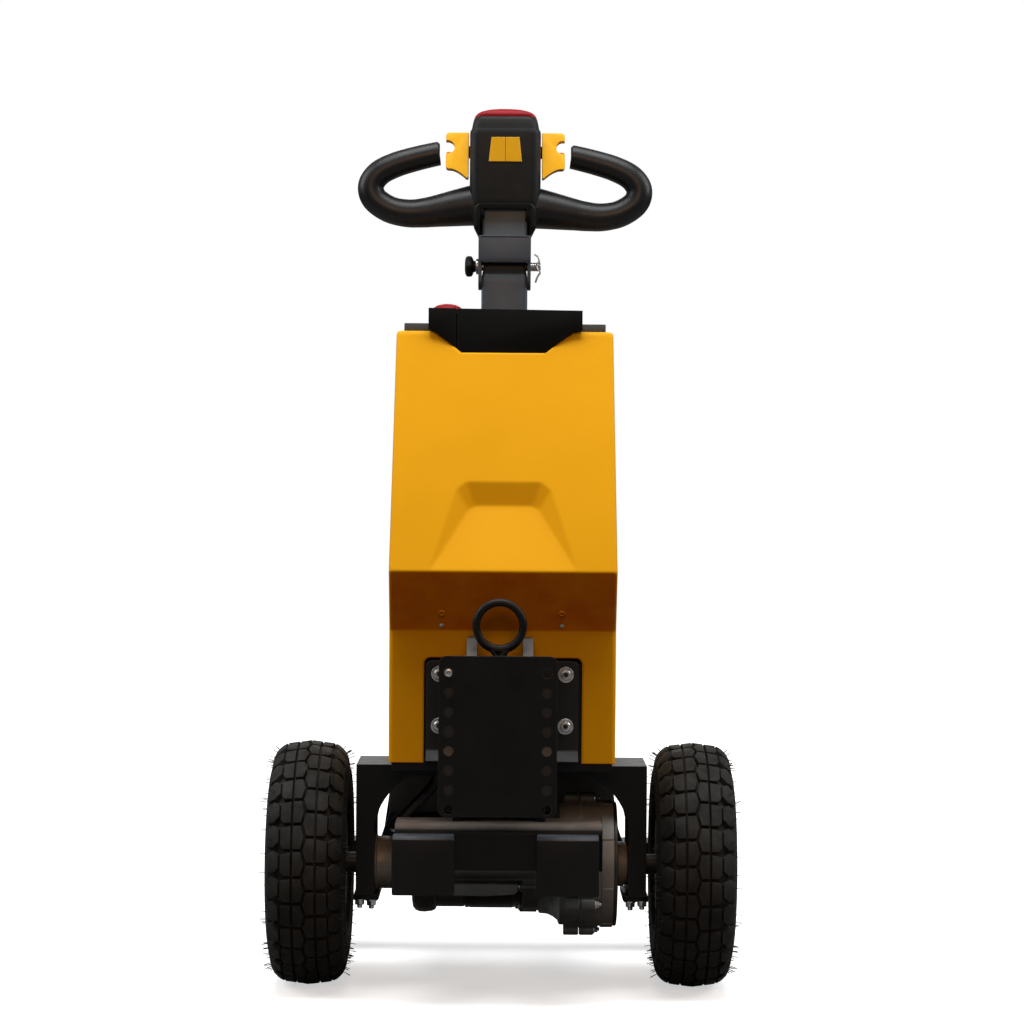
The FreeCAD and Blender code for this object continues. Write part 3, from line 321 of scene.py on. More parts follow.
# %% Lamps
def soft_box(name, place, target_z, size, power, colour=(1, 1, 1)):
    """A rectangular area lamp that faces a point above the axle."""
    data = bpy.data.lights.new(name, "AREA")
    data.shape = "RECTANGLE"
    data.size, data.size_y = size
    data.energy = power
    data.color = colour
    lamp = bpy.data.objects.new(name, data)
    lamp.location = place
    facing = Vector((0, AXLE, target_z)) - Vector(place)
    lamp.rotation_euler = facing.to_track_quat("-Z", "Y").to_euler()
    lamp.visible_camera = False
    scene.collection.objects.link(lamp)


WARM = (1.0, 0.56, 0.30)
soft_box("top_box", (0, AXLE - 0.5, 3.2), 0.6, (2.4, 1.6), 78)
for side in (-1, 1):
    soft_box("side_box", (side * 2.3, AXLE - 0.2, 2.1), 0.6, (1.3, 1.8), 36)
soft_box("front_box", (0, AXLE - 4.4, 2.4), 0.7, (1.6, 1.3), 38, WARM)
soft_box("back_box", (0, AXLE + 3.8, 2.2), 0.6, (1.8, 1.4), 22)
print("lamps", [light.name for light in bpy.data.lights])

# %% [markdown]
# ## Finishes
# A real finish is never one flat colour. Powder coat has a fine orange peel, sand-cast
# aluminium is grainy and mottled, zinc is bright and slightly streaky, rubber is dull. Each
# finish here is a base colour that drifts by a soft noise, a roughness that drifts too, and a
# fine relief. Edges may be lighter, partly from wear and partly as a painted highlight. Faces
# that look up may carry dust, and on the guard and the pads a painted highlight and painted
# reflection. The yellow paint has painted shade on faces that look down. All patterns sit on
# Object coordinates in metres.

# %% Noise, edge wear with painted highlights, dust with painted light, painted shade
NOISE_LOW, NOISE_HIGH = 0.3, 0.7
EDGE_COSINE, FULL_EDGE_MARK_COSINE = 0.985, 0.80


def drifting(tree, scale, detail, low, high, coords):
    """A noise pattern on the piece, its values spread between low and high."""
    noise = wired(tree, "TexNoise", "Fac", {"Vector": coords, "Scale": scale, "Detail": detail})
    return wired(tree, "MapRange", "Result",
                 {"Value": noise, "From Min": NOISE_LOW, "From Max": NOISE_HIGH,
                  "To Min": low, "To Max": high})


def edge_wear_and_highlight_mask(tree, coords, radius, amount):
    """How far an edge is marked, by wear and by a painted highlight along the edge: one minus the
    cosine between the true normal and the mean normal within a radius in millimetres, broken up
    by a patchy noise."""
    mean_normal = wired(tree, "Bevel", "Normal", {"Radius": radius / 1000}, samples=4)
    true_normal = tree.nodes.new("ShaderNodeNewGeometry").outputs["Normal"]
    cosine = wired(tree, "VectorMath", "Value", {0: mean_normal, 1: true_normal},
                   operation="DOT_PRODUCT")
    rubbed_and_highlit = wired(tree, "MapRange", "Result",
                   {"Value": cosine, "From Min": EDGE_COSINE, "From Max": FULL_EDGE_MARK_COSINE})
    return product(tree, rubbed_and_highlit, drifting(tree, 55, 4, 0, amount, coords))


def facing_dust_and_painted_light(tree, coords, amount, start, full):
    """A patchy film on faces that look up, or down where start and full are negative: on upward
    faces settled dirt and a painted highlight, on downward faces painted shade. It is how far the
    normal's upward part has gone from start to full."""
    normal = tree.nodes.new("ShaderNodeTexCoord").outputs["Normal"]
    facing = wired(tree, "SeparateXYZ", "Z", {0: normal})
    lying = wired(tree, "MapRange", "Result",
                  {"Value": facing, "From Min": start, "From Max": full})
    return product(tree, lying, drifting(tree, 30, 5, 0.6 * amount, amount, coords))


# The full edge mark is wear and a painted highlight together.
print("an edge is fully rubbed where its normals part by %.0f degrees"
      % math.degrees(math.acos(FULL_EDGE_MARK_COSINE)))

# %% Finish builder
def mixed_colour(tree, factor, first, second):
    """A colour that goes from first to second; each is a socket or three numbers."""
    first, second = ((*colour, 1) if isinstance(colour, tuple) else colour
                     for colour in (first, second))
    return wired(tree, "Mix", "Result", {"Factor": factor, "A": first, "B": second},
                 data_type="RGBA")


def make_finish(name, dark, light, rough, relief, drift, grain, metal=0.0, shine=0.5,
                edge_wear_and_highlight=None, dust_and_top_light=None, painted_underside_shade=None):
    """A finish: colour between dark and light, roughness between two values, fine relief.

    relief is the height of the grain in millimetres, drift and grain are the noise scales,
    edge_wear_and_highlight is the colour where edges show wear and a painted highlight,
    dust_and_top_light the colour on upward faces, part settled dirt and part painted highlight,
    painted_underside_shade the painted shade on downward faces.
    """
    material = bpy.data.materials.new(name)
    material.use_nodes = True
    tree = material.node_tree
    shader = tree.nodes["Principled BSDF"]
    shader.inputs["Metallic"].default_value = metal
    shader.inputs["Specular IOR Level"].default_value = shine
    coords = tree.nodes.new("ShaderNodeTexCoord").outputs["Object"]
    colour = mixed_colour(tree, drifting(tree, drift, 5, 0, 1, coords), dark, light)
    # Faces that look up get dust, and on the guard and pads a painted highlight and painted
    # reflection.
    if dust_and_top_light:
        colour = mixed_colour(tree, facing_dust_and_painted_light(tree, coords, 0.8, 0.45, 1.0), colour, dust_and_top_light)
    # Painted shade: faces that look down are turned a deeper orange.
    if painted_underside_shade:
        colour = mixed_colour(tree, facing_dust_and_painted_light(tree, coords, 0.9, -0.15, -0.5), colour, painted_underside_shade)
    # Edges get a lighter colour: wear, and a painted highlight along them.
    if edge_wear_and_highlight:
        colour = mixed_colour(tree, edge_wear_and_highlight_mask(tree, coords, 1.6, 0.8), colour, edge_wear_and_highlight)
    grains = drifting(tree, grain, 2, 0, 1, coords)
    for socket, value in (
            ("Base Color", colour), ("Roughness", drifting(tree, drift * 3, 4, *rough, coords)),
            ("Normal", wired(tree, "Bump", "Normal", {"Height": grains, "Strength": 1.0,
                                                      "Distance": relief / 1000}))):
        tree.links.new(value, shader.inputs[socket])
    return material


print("the middle of the noise is spread %.1f times" % (1 / (NOISE_HIGH - NOISE_LOW)))

# %% All finishes
# Each row has a dark and a light colour, two roughness values, the relief in millimetres, the
# drift and grain scales, and what the finish has beyond that.
POWDER_BLACK = [(0.0024, 0.0038, 0.0044), (0.0042, 0.0058, 0.0066), (0.34, 0.46), 0.008, 16, 800]
BLACK_EDGE_WEAR_AND_HIGHLIGHT = {"shine": 0.18, "edge_wear_and_highlight": (0.11, 0.115, 0.115)}
# In every row the edge colour is wear and also a painted highlight on the edges.
LOOKS = {
    "tyre": [(0.0082, 0.0082, 0.0078), (0.0255, 0.0255, 0.0240), (0.62, 0.85), 0.10, 26, 520,
             {"shine": 0.2}],
    "rim_paint": [(0.42, 0.42, 0.41), (0.55, 0.55, 0.53), (0.32, 0.48), 0.012, 18, 700, {}],
    "zinc_steel": [(0.40, 0.44, 0.46), (0.66, 0.69, 0.70), (0.22, 0.42), 0.010, 60, 1400,
                   {"metal": 1.0}],
    # The yellow paint's last colour is painted shade on its downward faces.
    "yellow_paint": [(0.77, 0.364, 0.003), (0.82, 0.393, 0.005), (0.44, 0.52), 0.008, 7, 700,
                     {"shine": 0.06, "edge_wear_and_highlight": (0.93, 0.50, 0.06), "painted_underside_shade": (0.60, 0.130, 0.005)}],
    "charcoal_paint": [*POWDER_BLACK, {**BLACK_EDGE_WEAR_AND_HIGHLIGHT, "dust_and_top_light": (0.030, 0.028, 0.026)}],
    # The guard's light top colour is a painted highlight on its top and bend, with some dust.
    "guard_paint": [*POWDER_BLACK, {**BLACK_EDGE_WEAR_AND_HIGHLIGHT, "dust_and_top_light": (0.27, 0.225, 0.19)}],
    "mount_paint": [(0.0080, 0.0104, 0.0118), (0.0112, 0.0140, 0.0156), (0.34, 0.46), 0.008, 16,
                    800, {"shine": 0.25, "edge_wear_and_highlight": (0.12, 0.125, 0.125),
                          "dust_and_top_light": (0.018, 0.020, 0.023)}],
    "hood_black": [(0.0036, 0.0054, 0.0062), (0.0058, 0.0076, 0.0086), (0.46, 0.60), 0.020, 18,
                   1000, {"shine": 0.08, "edge_wear_and_highlight": (0.035, 0.036, 0.037)}],
    "grey_paint": [(0.041, 0.055, 0.070), (0.052, 0.068, 0.086), (0.38, 0.50), 0.010, 16, 900,
                   {"shine": 0.35, "edge_wear_and_highlight": (0.12, 0.125, 0.13)}],
    "bracket_grey": [(0.048, 0.042, 0.037), (0.066, 0.058, 0.051), (0.38, 0.52), 0.012, 16, 900,
                     {"shine": 0.3, "edge_wear_and_highlight": (0.30, 0.28, 0.26)}],
    "light_grey": [(0.108, 0.146, 0.182), (0.130, 0.174, 0.214), (0.38, 0.50), 0.010, 16, 900,
                   {"shine": 0.3, "edge_wear_and_highlight": (0.30, 0.30, 0.30)}],
    "motor_grey": [(0.12, 0.115, 0.105), (0.17, 0.163, 0.15), (0.42, 0.56), 0.02, 20, 700,
                   {"shine": 0.3, "edge_wear_and_highlight": (0.32, 0.31, 0.30)}],
    "cast_aluminium": [(0.170, 0.172, 0.166), (0.272, 0.275, 0.266), (0.40, 0.60), 0.06, 22, 600,
                       {"metal": 0.15, "shine": 0.4, "edge_wear_and_highlight": (0.42, 0.41, 0.39)}],
    "motor_paint": [(0.009, 0.009, 0.009), (0.016, 0.016, 0.015), (0.34, 0.5), 0.012, 20, 700,
                    {"shine": 0.4, "edge_wear_and_highlight": (0.08, 0.08, 0.08)}],
    "black_plastic": [(0.0050, 0.0066, 0.0070), (0.0080, 0.0100, 0.0106), (0.44, 0.60), 0.030,
                      24, 1100, {"shine": 0.2, "edge_wear_and_highlight": (0.04, 0.04, 0.04)}],
    "grip_rubber": [(0.0046, 0.0056, 0.0068), (0.0080, 0.0092, 0.0108), (0.36, 0.42), 0.001, 18,
                    400, {"shine": 0.32}],
    # The pads' bluish top colour is a painted reflection on their top chamfers.
    "pad_rubber": [(0.004, 0.0046, 0.0050), (0.0070, 0.0080, 0.0085), (0.34, 0.48), 0.012, 20,
                   600, {"shine": 0.2, "edge_wear_and_highlight": (0.03, 0.033, 0.038),
                         "dust_and_top_light": (0.085, 0.10, 0.13)}],
    "yellow_plastic": [(0.88, 0.45, 0.008), (0.94, 0.51, 0.016), (0.34, 0.46), 0.012, 24, 900,
                       {"shine": 0.15, "edge_wear_and_highlight": (0.95, 0.66, 0.20)}],
    "orange_plastic": [(0.62, 0.16, 0.006), (0.72, 0.20, 0.010), (0.34, 0.46), 0.012, 24, 900,
                       {"shine": 0.4}],
    "red_plastic": [(0.23, 0.004, 0.009), (0.30, 0.007, 0.013), (0.34, 0.46), 0.012, 24, 1000,
                    {"shine": 0.12}],
    "battery_case": [(0.03, 0.03, 0.032), (0.045, 0.045, 0.047), (0.4, 0.6), 0.03, 16, 600, {}],
    "caster_tread": [(0.035, 0.035, 0.037), (0.06, 0.06, 0.062), (0.5, 0.7), 0.03, 24, 600, {}],
    "conduit": [(0.004, 0.004, 0.004), (0.009, 0.009, 0.009), (0.34, 0.5), 0.015, 30, 900,
                {"shine": 0.4}],
}
FINISH = {name: make_finish(name, *look[:-1], **look[-1]) for name, look in LOOKS.items()}
record_slots = {row["node"]: row["material_slot"] for row in frame["record"]["subparts"]}
for node, node_object in frame["nodes"].items():
    for place in node_object.material_slots:
        place.material = FINISH[record_slots[node]]
print(len(FINISH), "finishes on", len(record_slots), "nodes")

# %% [markdown]
# ## Outlines and profiles
# Three small tools shape nearly everything below: a path whose corners are rounded by arcs, an
# outline moved inwards by a distance, and a rounded rectangle. Each works on whole arrays.

# %% Paths and insets
def rounded_path(corners, radii, step=8.0):
    """A polyline with arcs at its corners.

    At each inner corner the arc starts and ends radius times tan(half the turn) from it, and
    its points are spaced evenly in angle about the arc's centre.
    """
    corners = np.asarray(corners, float)
    pieces = [corners[:1]]
    for before, here, after, radius in zip(corners, corners[1:], corners[2:], radii):
        back, ahead = unit(before - here), unit(after - here)
        half = math.acos(float(np.clip(back @ ahead, -1, 1))) / 2
        full = math.pi - 2 * half
        centre = here + unit(back + ahead) * radius / math.sin(half)
        count = max(3, int(math.degrees(full) / step) + 1)
        start = here + back * radius / math.tan(half) - centre
        stop = here + ahead * radius / math.tan(half) - centre
        share = np.linspace(0, 1, count)[:, None]
        arc = (np.sin((1 - share) * full) * start + np.sin(share * full) * stop) / math.sin(full)
        pieces.append(centre + arc)
    pieces.append(corners[-1:])
    return np.concatenate(pieces)


def inset(outline, distance):
    """Move a counter-clockwise outline (n, 2) inwards: each corner along its bisector."""
    outline = np.asarray(outline, float)
    ahead = unit(np.roll(outline, -1, 0) - outline)
    inward = np.stack([-ahead[:, 1], ahead[:, 0]], axis=1)
    both = inward + np.roll(inward, 1, 0)
    scale = 2 / np.maximum(np.sum(both * both, axis=1, keepdims=True), 0.4)
    return outline + both * scale * distance


print("a right-angled corner gets", len(rounded_path([(0, 0), (9, 0), (9, 9)], [3])) - 2,
      "points")

# %% Rectangles and plates
def rounded_rectangle(width, height, radius, count=5):
    """A counter-clockwise outline about the origin: four quarter circles."""
    turn = np.linspace(0, math.pi / 2, count)
    angles = np.concatenate([turn + quarter * math.pi / 2 for quarter in range(4)])
    middle = np.array([[1, 1], [-1, 1], [-1, -1], [1, -1]]).repeat(count, axis=0)
    centre = middle * [width / 2 - radius, height / 2 - radius]
    return centre + radius * np.stack([np.cos(angles), np.sin(angles)], axis=1)


def slab(outline, low, high, plane, edge=0.0, rounds=1):
    """A plate: an outline carried from low to high across a plane, its rims rounded by edge.

    plane names the outline's two axes, and the third runs through the plate's thickness.
    """
    share = np.linspace(0, math.pi / 2, rounds + 1) if edge else np.zeros(1)
    levels = np.concatenate([low + edge * (1 - np.sin(share)), high - edge * (1 - np.sin(share))])
    insets = np.concatenate([edge * (1 - np.cos(share[::-1])), edge * (1 - np.cos(share))])
    levels[:len(share)] = levels[:len(share)][::-1]
    loops = np.zeros((len(levels), len(outline), 3))
    first, second = ("xyz".index(letter) for letter in plane)
    third = 3 - first - second
    for row, (level, distance) in enumerate(zip(levels, insets)):
        moved = inset(outline, distance) if distance else np.asarray(outline, float)
        loops[row, :, first], loops[row, :, second] = moved[:, 0], moved[:, 1]
        loops[row, :, third] = level
    return loft(loops)


print("a rounded rectangle has", len(rounded_rectangle(10, 10, 2)), "points")

# %% [markdown]
# ## The folded cover
# The cover is one bent steel sheet: upright at the bottom, folded out to a nose, then leaning
# back to a brow, with flat sides. It could be a bevelled box, but the pressed recess needs its
# own surface. So the sheet is a stack of rounded rectangles, one per height, whose front edge
# follows the side profile; points of the front may then be pushed inwards, and Solidify gives
# the sheet its thickness.

# %% Side profile of the cover
COVER_HALF, COVER_TOP_HALF = 149.0, 145.5
KNEE, NOSE, BROW, RIDGE, BACK = (-140, 489), (-195, 568), (-47, 886), (100, 886), (240, 760)
COVER_FOOT, COVER_TOP = 314.6, 886.0
front_path = rounded_path([(-140, COVER_FOOT), KNEE, NOSE, BROW], [7, 4.5], step=12)
front_run = run_along(front_path)
LEAN = math.atan2(BROW[0] - NOSE[0], BROW[1] - NOSE[1])


def front_at(run):
    """The point (y, z) of the front profile after a length of sheet."""
    return np.interp(run, front_run, front_path[:, 0]), np.interp(run, front_run, front_path[:, 1])


def run_at(height):
    """The length of sheet from the foot up to a height."""
    return float(np.interp(height, front_path[:, 1], front_run))


print("sheet from foot to brow %.0f mm, leaning back %.1f degrees"
      % (front_run[-1], math.degrees(LEAN)))

# %% [markdown]
# ## The pressed recess and the notches
# The recess is cut by four kinds of flat wall: a floor that is deepest at its top, a top wall,
# two corner facets and two long side facets. The depth at a point is the least of the depths
# to those planes. The notches for the mount and the hood are distance functions: faces inside
# are left out, and the points nearest to the border are moved onto it.

# %% Depth of the recess
RECESS_DEPTH, RECESS_LOW, RECESS_HIGH = 11.5, 570.0, 684.5
BEND_X, BEND_Z, CREASE_BLEND = 62.0, 674.0, 0.018


def soft_least(values, blend):
    """A minimum whose creases are rounded: minus the log of summed exponentials."""
    stacked = np.stack(values)
    least = stacked.min(axis=0)
    return least - blend * np.log(np.exp(-(stacked - least) / blend).sum(axis=0))


def recess_depth(x, z):
    """Depth of the pressed recess at a point of the leaning front, in millimetres.

    Each wall is a share of the full depth that grows evenly with the distance from its rim;
    the corner facet and the side facet have their rims through the bend.
    """
    inwards, downwards = BEND_X - np.abs(x), BEND_Z - z
    ceiling = (RECESS_HIGH - z) / 26.0
    corner = (inwards * 0.63 + downwards * 0.777) / 27.5
    side = (inwards * 0.9513 + downwards * 0.3087) / 22.5
    ground = (z - RECESS_LOW) / 85.0
    depth = RECESS_DEPTH * soft_least([ceiling, corner, side, ground], CREASE_BLEND)
    return np.where(z > RECESS_LOW - 1, np.maximum(depth, 0), 0)


print("deepest point %.1f mm" % recess_depth(np.zeros(1), np.array([656.0])).max())

# %% Distances to the notches
MOUNT_NOTCH = {"middle": 0.8, "half": 103.8, "top": 453.2, "radius": 9.0}
HOOD_NOTCH = {"middle": -1.8, "low_half": 56.3, "top_half": 93.2, "low": 856.5}


def box_distance(x, z, middle, half, top, radius):
    """Distance to a notch open below: negative inside, with rounded upper corners."""
    across, up = np.abs(x - middle) - (half - radius), z - (top - radius)
    outside = np.hypot(np.maximum(across, 0), np.maximum(up, 0))
    return outside + np.minimum(np.maximum(across, up), 0) - radius


def wedge_distance(x, z, middle, low_half, top_half, low):
    """Distance to a wedge-shaped notch, open above: negative inside."""
    slope = unit([COVER_TOP - low, low_half - top_half])
    flank = (np.abs(x - middle) - low_half) * slope[0] + (z - low) * slope[1]
    return np.maximum(flank, low - z)


def notch_distance(x, z):
    """Distance to the nearer of the two notches, the mount's and the hood's."""
    return np.minimum(box_distance(x, z, **MOUNT_NOTCH), wedge_distance(x, z, **HOOD_NOTCH))


def on_border(x, z, distance, reach):
    """Move the points within reach of a border onto it, along the distance's slope."""
    small = 0.01
    value = distance(x, z)
    slope_x = (distance(x + small, z) - distance(x - small, z)) / (2 * small)
    slope_z = (distance(x, z + small) - distance(x, z - small)) / (2 * small)
    near = np.abs(value) < reach
    return np.where(near, x - value * slope_x, x), np.where(near, z - value * slope_z, z)


print("the top of the mount's notch is %.1f mm above z 440" % -notch_distance(0.8, 440.0))

# %% Rows and columns of the cover
def cover_rows():
    """Lengths of sheet at which the loops lie: close together where the shape changes."""
    rows = [[0, 1.2, run_at(474), run_at(480)], np.linspace(16, run_at(436), 7),
            front_run[1:-1]]
    rows += [np.linspace(run_at(low), run_at(high), count)
             for low, high, count in ((500, 556, 6), (706, 844, 12))]
    rows += [np.arange(run_at(low), run_at(high), gap)
             for low, high, gap in ((437, 464, 2.0), (573, 700, 2.0), (847, 880.5, 1.9))]
    return np.unique(np.concatenate(rows).round(3))


FRONT_COUNT, SIDE_COUNT, BACK_COUNT, CORNER_COUNT, BORDER_REACH = 121, 12, 14, 5, 1.6


def loop_columns():
    """For each column: shares of the half sizes, and the unit offset from the corner radius."""
    turn = np.linspace(0, math.pi / 2, CORNER_COUNT)[1:-1]
    quarter = np.stack([np.sin(turn), -np.cos(turn)], axis=1)
    columns, spin = [], np.eye(2)
    for count in (FRONT_COUNT, SIDE_COUNT, BACK_COUNT, SIDE_COUNT):
        share = np.linspace(-1, 1, count)
        edge = np.stack([share, -np.ones(count)], axis=1)
        flat = np.concatenate([edge @ spin, np.tile([0, -1], (count, 1)) @ spin], axis=1)
        corner = np.concatenate([np.tile([1, -1], (len(turn), 1)) @ spin, quarter @ spin], axis=1)
        columns += [flat, corner]
        spin = np.array([[0, 1], [-1, 0]]) @ spin
    return np.concatenate(columns)


print("cover grid of", len(cover_rows()), "rows and", len(loop_columns()), "columns")

# %% The cover's skin
def cover_skin(radius=5.0):
    """Stacked loops of the cover, the recess pressed in, the notches left out."""
    runs = cover_rows()
    front_y, height = front_at(runs)
    over = np.linspace(0, math.pi / 2, 6)[1:]
    top_shrink = [12, 22, 32, 42]
    height = np.concatenate([height, COVER_TOP - radius * (1 - np.sin(over)),
                             np.full(len(top_shrink), COVER_TOP)])
    shrink = np.concatenate([np.zeros(len(runs)), radius * (1 - np.cos(over)), top_shrink])
    line_y = np.interp(height, [COVER_FOOT, KNEE[1], NOSE[1], BROW[1]],
                       [-140, KNEE[0], NOSE[0], BROW[0]])
    line_y[:len(runs)] = front_y
    back_y = np.interp(height, [BACK[1], RIDGE[1]], [BACK[0], RIDGE[0]])
    half = np.interp(height, [KNEE[1], COVER_TOP], [COVER_HALF, COVER_TOP_HALF]) - shrink
    low, high = line_y + shrink, back_y - shrink
    columns = loop_columns()
    middle, deep = (low + high) / 2, (high - low) / 2
    x = columns[:, 0] * (half[:, None] - radius) + radius * columns[:, 2]
    y = middle[:, None] + columns[:, 1] * (deep[:, None] - radius) + radius * columns[:, 3]
    z = np.broadcast_to(height[:, None], x.shape).copy()
    on_front = np.zeros(x.shape, bool)
    on_front[:len(runs), :FRONT_COUNT] = True
    moved_x, moved_z = on_border(x, z, notch_distance, BORDER_REACH)
    sloping = on_front & (z > NOSE[1] + 10)
    upright = on_front & (z < KNEE[1] - 10)
    x = np.where(sloping | upright, moved_x, x)
    y = np.where(sloping, y + (moved_z - z) * math.tan(LEAN), y)
    z = np.where(sloping | upright, moved_z, z)
    depth = np.where(on_front, recess_depth(x, z), 0)
    y, z = y + depth * math.cos(LEAN), z - depth * math.sin(LEAN)
    points = np.stack([x, y, z], axis=-1).reshape(-1, 3)
    faces = skin_faces(*x.shape)
    centre = points[faces].mean(axis=1)
    ahead = on_front.reshape(-1)[faces].all(axis=1) | (
        (centre[:, 1] < BROW[0] + 60) & (centre[:, 2] > 880))
    holes = ahead & (notch_distance(centre[:, 0], centre[:, 2]) < 0.25)
    return points, faces[~holes].tolist()


cover = make_piece("folded_cover", cover_skin(), "yellow_paint", "chassis", crease=28,
                   nodes=["front_cover"], closed=False)
sheet = cover.modifiers.new("Sheet", "SOLIDIFY")
sheet.thickness = 0.0025
sheet.offset = -1
print("cover has", len(cover.data.polygons), "faces")

# %% [markdown]
# ## Turned parts and fasteners
# Rims, hubs, flanges, washers and the motor are turned on a lathe, so each is a short list of
# radii swept about an axis. Bolts are turned or six-sided heads made once along z, then aimed.

# %% Lathe and aiming
ORIGIN = (0, 0, 0)


def turned(profile, axis, centre, segments=48, ring=False):
    """A lathe shape: (along, radius) pairs swept about an axis through a centre."""
    profile = np.asarray(profile, float)
    angle = full_turn(segments)
    main = "xyz".index(axis)
    first, second = (main + 1) % 3, (main + 2) % 3
    loops = np.empty((len(profile), segments, 3))
    loops[..., main] = centre[main] + profile[:, :1]
    loops[..., first] = centre[first] + profile[:, 1:] * np.cos(angle)
    loops[..., second] = centre[second] + profile[:, 1:] * np.sin(angle)
    return loft(loops, ring=ring)


def aimed(shape, place, direction):
    """Turn a shape made along +z towards a direction, then move it to a place."""
    along = unit(direction)
    helper = (1.0, 0, 0) if abs(along[2]) > 0.9 else (0, 0, 1.0)
    side = unit(np.cross(helper, along))
    return shape[0] @ np.stack([side, np.cross(along, side), along]) + place, shape[1]


print("a lathe shape of 2 rows has", len(turned([(0, 5), (9, 5)], "z", ORIGIN)[1]), "faces")

# %% Screw and nut heads
def screw(radius, height, sides=12, washer=0.0):
    """A domed screw head with a six-sided socket, on a washer if that has a radius."""
    dome = [(0, 1), (0.7, 1), (0.93, 0.9), (1, 0.66)]
    outside = turned([(h * height, r * radius) for h, r in dome], "z", ORIGIN, sides)[0]
    angle = full_turn(sides)
    hexagon = 0.5 * radius / np.cos((angle + math.pi / 6) % (math.pi / 3) - math.pi / 6)
    rim = np.stack([hexagon * np.cos(angle), hexagon * np.sin(angle),
                    np.full(sides, height)], axis=1)
    points = np.concatenate([outside, rim, rim * [0.9, 0.9, 0.1]])
    rows = len(dome) + 2
    faces = skin_faces(rows, sides).tolist()
    faces += [list(range(sides))[::-1], list(range((rows - 1) * sides, rows * sides))]
    head = points, faces
    if not washer:
        return head
    ring = turned([(-1.6, washer), (-0.3, washer), (0, washer - 0.5), (0, washer - 1.9),
                   (-0.9, washer - 2.3)], "z", ORIGIN, 2 * sides)
    return joined([ring, head])


def hex_head(radius, height, washer=0.0, stem=0.0):
    """A six-sided nut or bolt head with a chamfered top, a washer under it, a stem over it."""
    turn = full_turn(6)
    corner = np.stack([np.cos(turn), np.sin(turn), np.zeros(6)], axis=1)
    levels = [(0, 1), (0.82, 1), (1, 0.86)]
    parts = [loft(np.stack([corner * radius * r + [0, 0, h * height] for h, r in levels]))]
    if washer:
        parts.append(turned([(-1.6, washer), (-0.3, washer), (0, washer - 0.4)],
                            "z", ORIGIN, 20))
    if stem:
        parts.append(turned([(height, radius * 0.5), (height + stem - 0.8, radius * 0.5),
                             (height + stem, radius * 0.42)], "z", ORIGIN, 12))
    return joined(parts)


print("a screw head has", len(screw(6.5, 3.6, washer=9)[1]), "faces")

# %% [markdown]
# ## The drive tyres
# A small pneumatic tractor tyre: a round carcass under a tread of separate rubber blocks, two
# rows of squarish blocks and a row of shoulder lugs on each side of a zigzag groove. It could
# be one displaced surface, but blocks with real walls catch the light far better. So the
# carcass is a lathe and every block is a small tapered prism laid on the tyre's cross-section.

# %% Tyre cross-section
tyre_path = rounded_path([(0, 165), (36, 160.4), (48.6, 148), (54, 112), (51, 92), (40, 86)],
                         [25, 20, 60, 6], step=6)
tyre_run = run_along(tyre_path)
TREAD_ROWS, TREAD_HEIGHT = 29, 7.0


def tyre_section(run, lift):
    """(across, radius) at a length of rubber from the centre line, raised along the normal."""
    distance = np.abs(run)
    place = [np.interp(distance, tyre_run, tyre_path[:, axis]) for axis in (0, 1)]
    ahead = [np.interp(distance + 1.5, tyre_run, tyre_path[:, axis])
             - np.interp(np.maximum(distance - 1.5, 0), tyre_run, tyre_path[:, axis])
             for axis in (0, 1)]
    length = np.maximum(np.hypot(*ahead), 1e-9)
    across = place[0] - lift * ahead[1] / length
    return np.sign(run) * np.maximum(across, 0), place[1] + lift * ahead[0] / length


def around_axle(across, radius, angle, side):
    """Points of a wheel part: across and radius in its section, an angle about the axle."""
    x = side * (WHEEL_X + across)
    return np.stack(np.broadcast_arrays(x, radius * np.cos(angle),
                                        AXLE_Z + radius * np.sin(angle)), axis=-1)


def carcass(side, segments=116):
    """The smooth rubber under the blocks, with three raised rings on each sidewall."""
    run = np.concatenate([np.linspace(0, 56, 19), np.linspace(58, tyre_run[-1], 40)])
    run = np.concatenate([-run[:0:-1], run])
    deep = np.clip((62 - np.abs(run)) / 12, 0, 1)
    rings = sum(np.exp(-((np.abs(run) - middle) / 1.1) ** 2) for middle in (74, 79, 118))
    across, radius = tyre_section(run, 0.9 * rings - TREAD_HEIGHT * deep * deep * (3 - 2 * deep))
    angle = full_turn(segments)
    return loft(around_axle(across[:, None], radius[:, None], angle, side), ring=True)


print("half the tyre's section is %.0f mm of rubber" % tyre_run[-1])

# %% Tread blocks
BLOCKS = [
    [(-14.2, -0.44), (-3.8, -0.44), (0.4, 0.0), (-3.8, 0.44), (-14.2, 0.44)],
    [(-31, -0.36), (-17.2, -0.44), (-17.2, 0.44), (-27, 0.44), (-31, 0.30)],
    [(-33.5, -0.34), (-33.5, 0.16), (-42, 0.36), (-58, 0.30), (-58, -0.36), (-43, -0.52)],
]


def resampled(outline, count):
    """The same closed outline with evenly spaced extra points between its corners."""
    outline = np.asarray(outline, float)
    share = np.arange(0, len(outline), len(outline) / count)
    first = share.astype(int)
    rest = (share - first)[:, None]
    return outline[first] * (1 - rest) + outline[(first + 1) % len(outline)] * rest


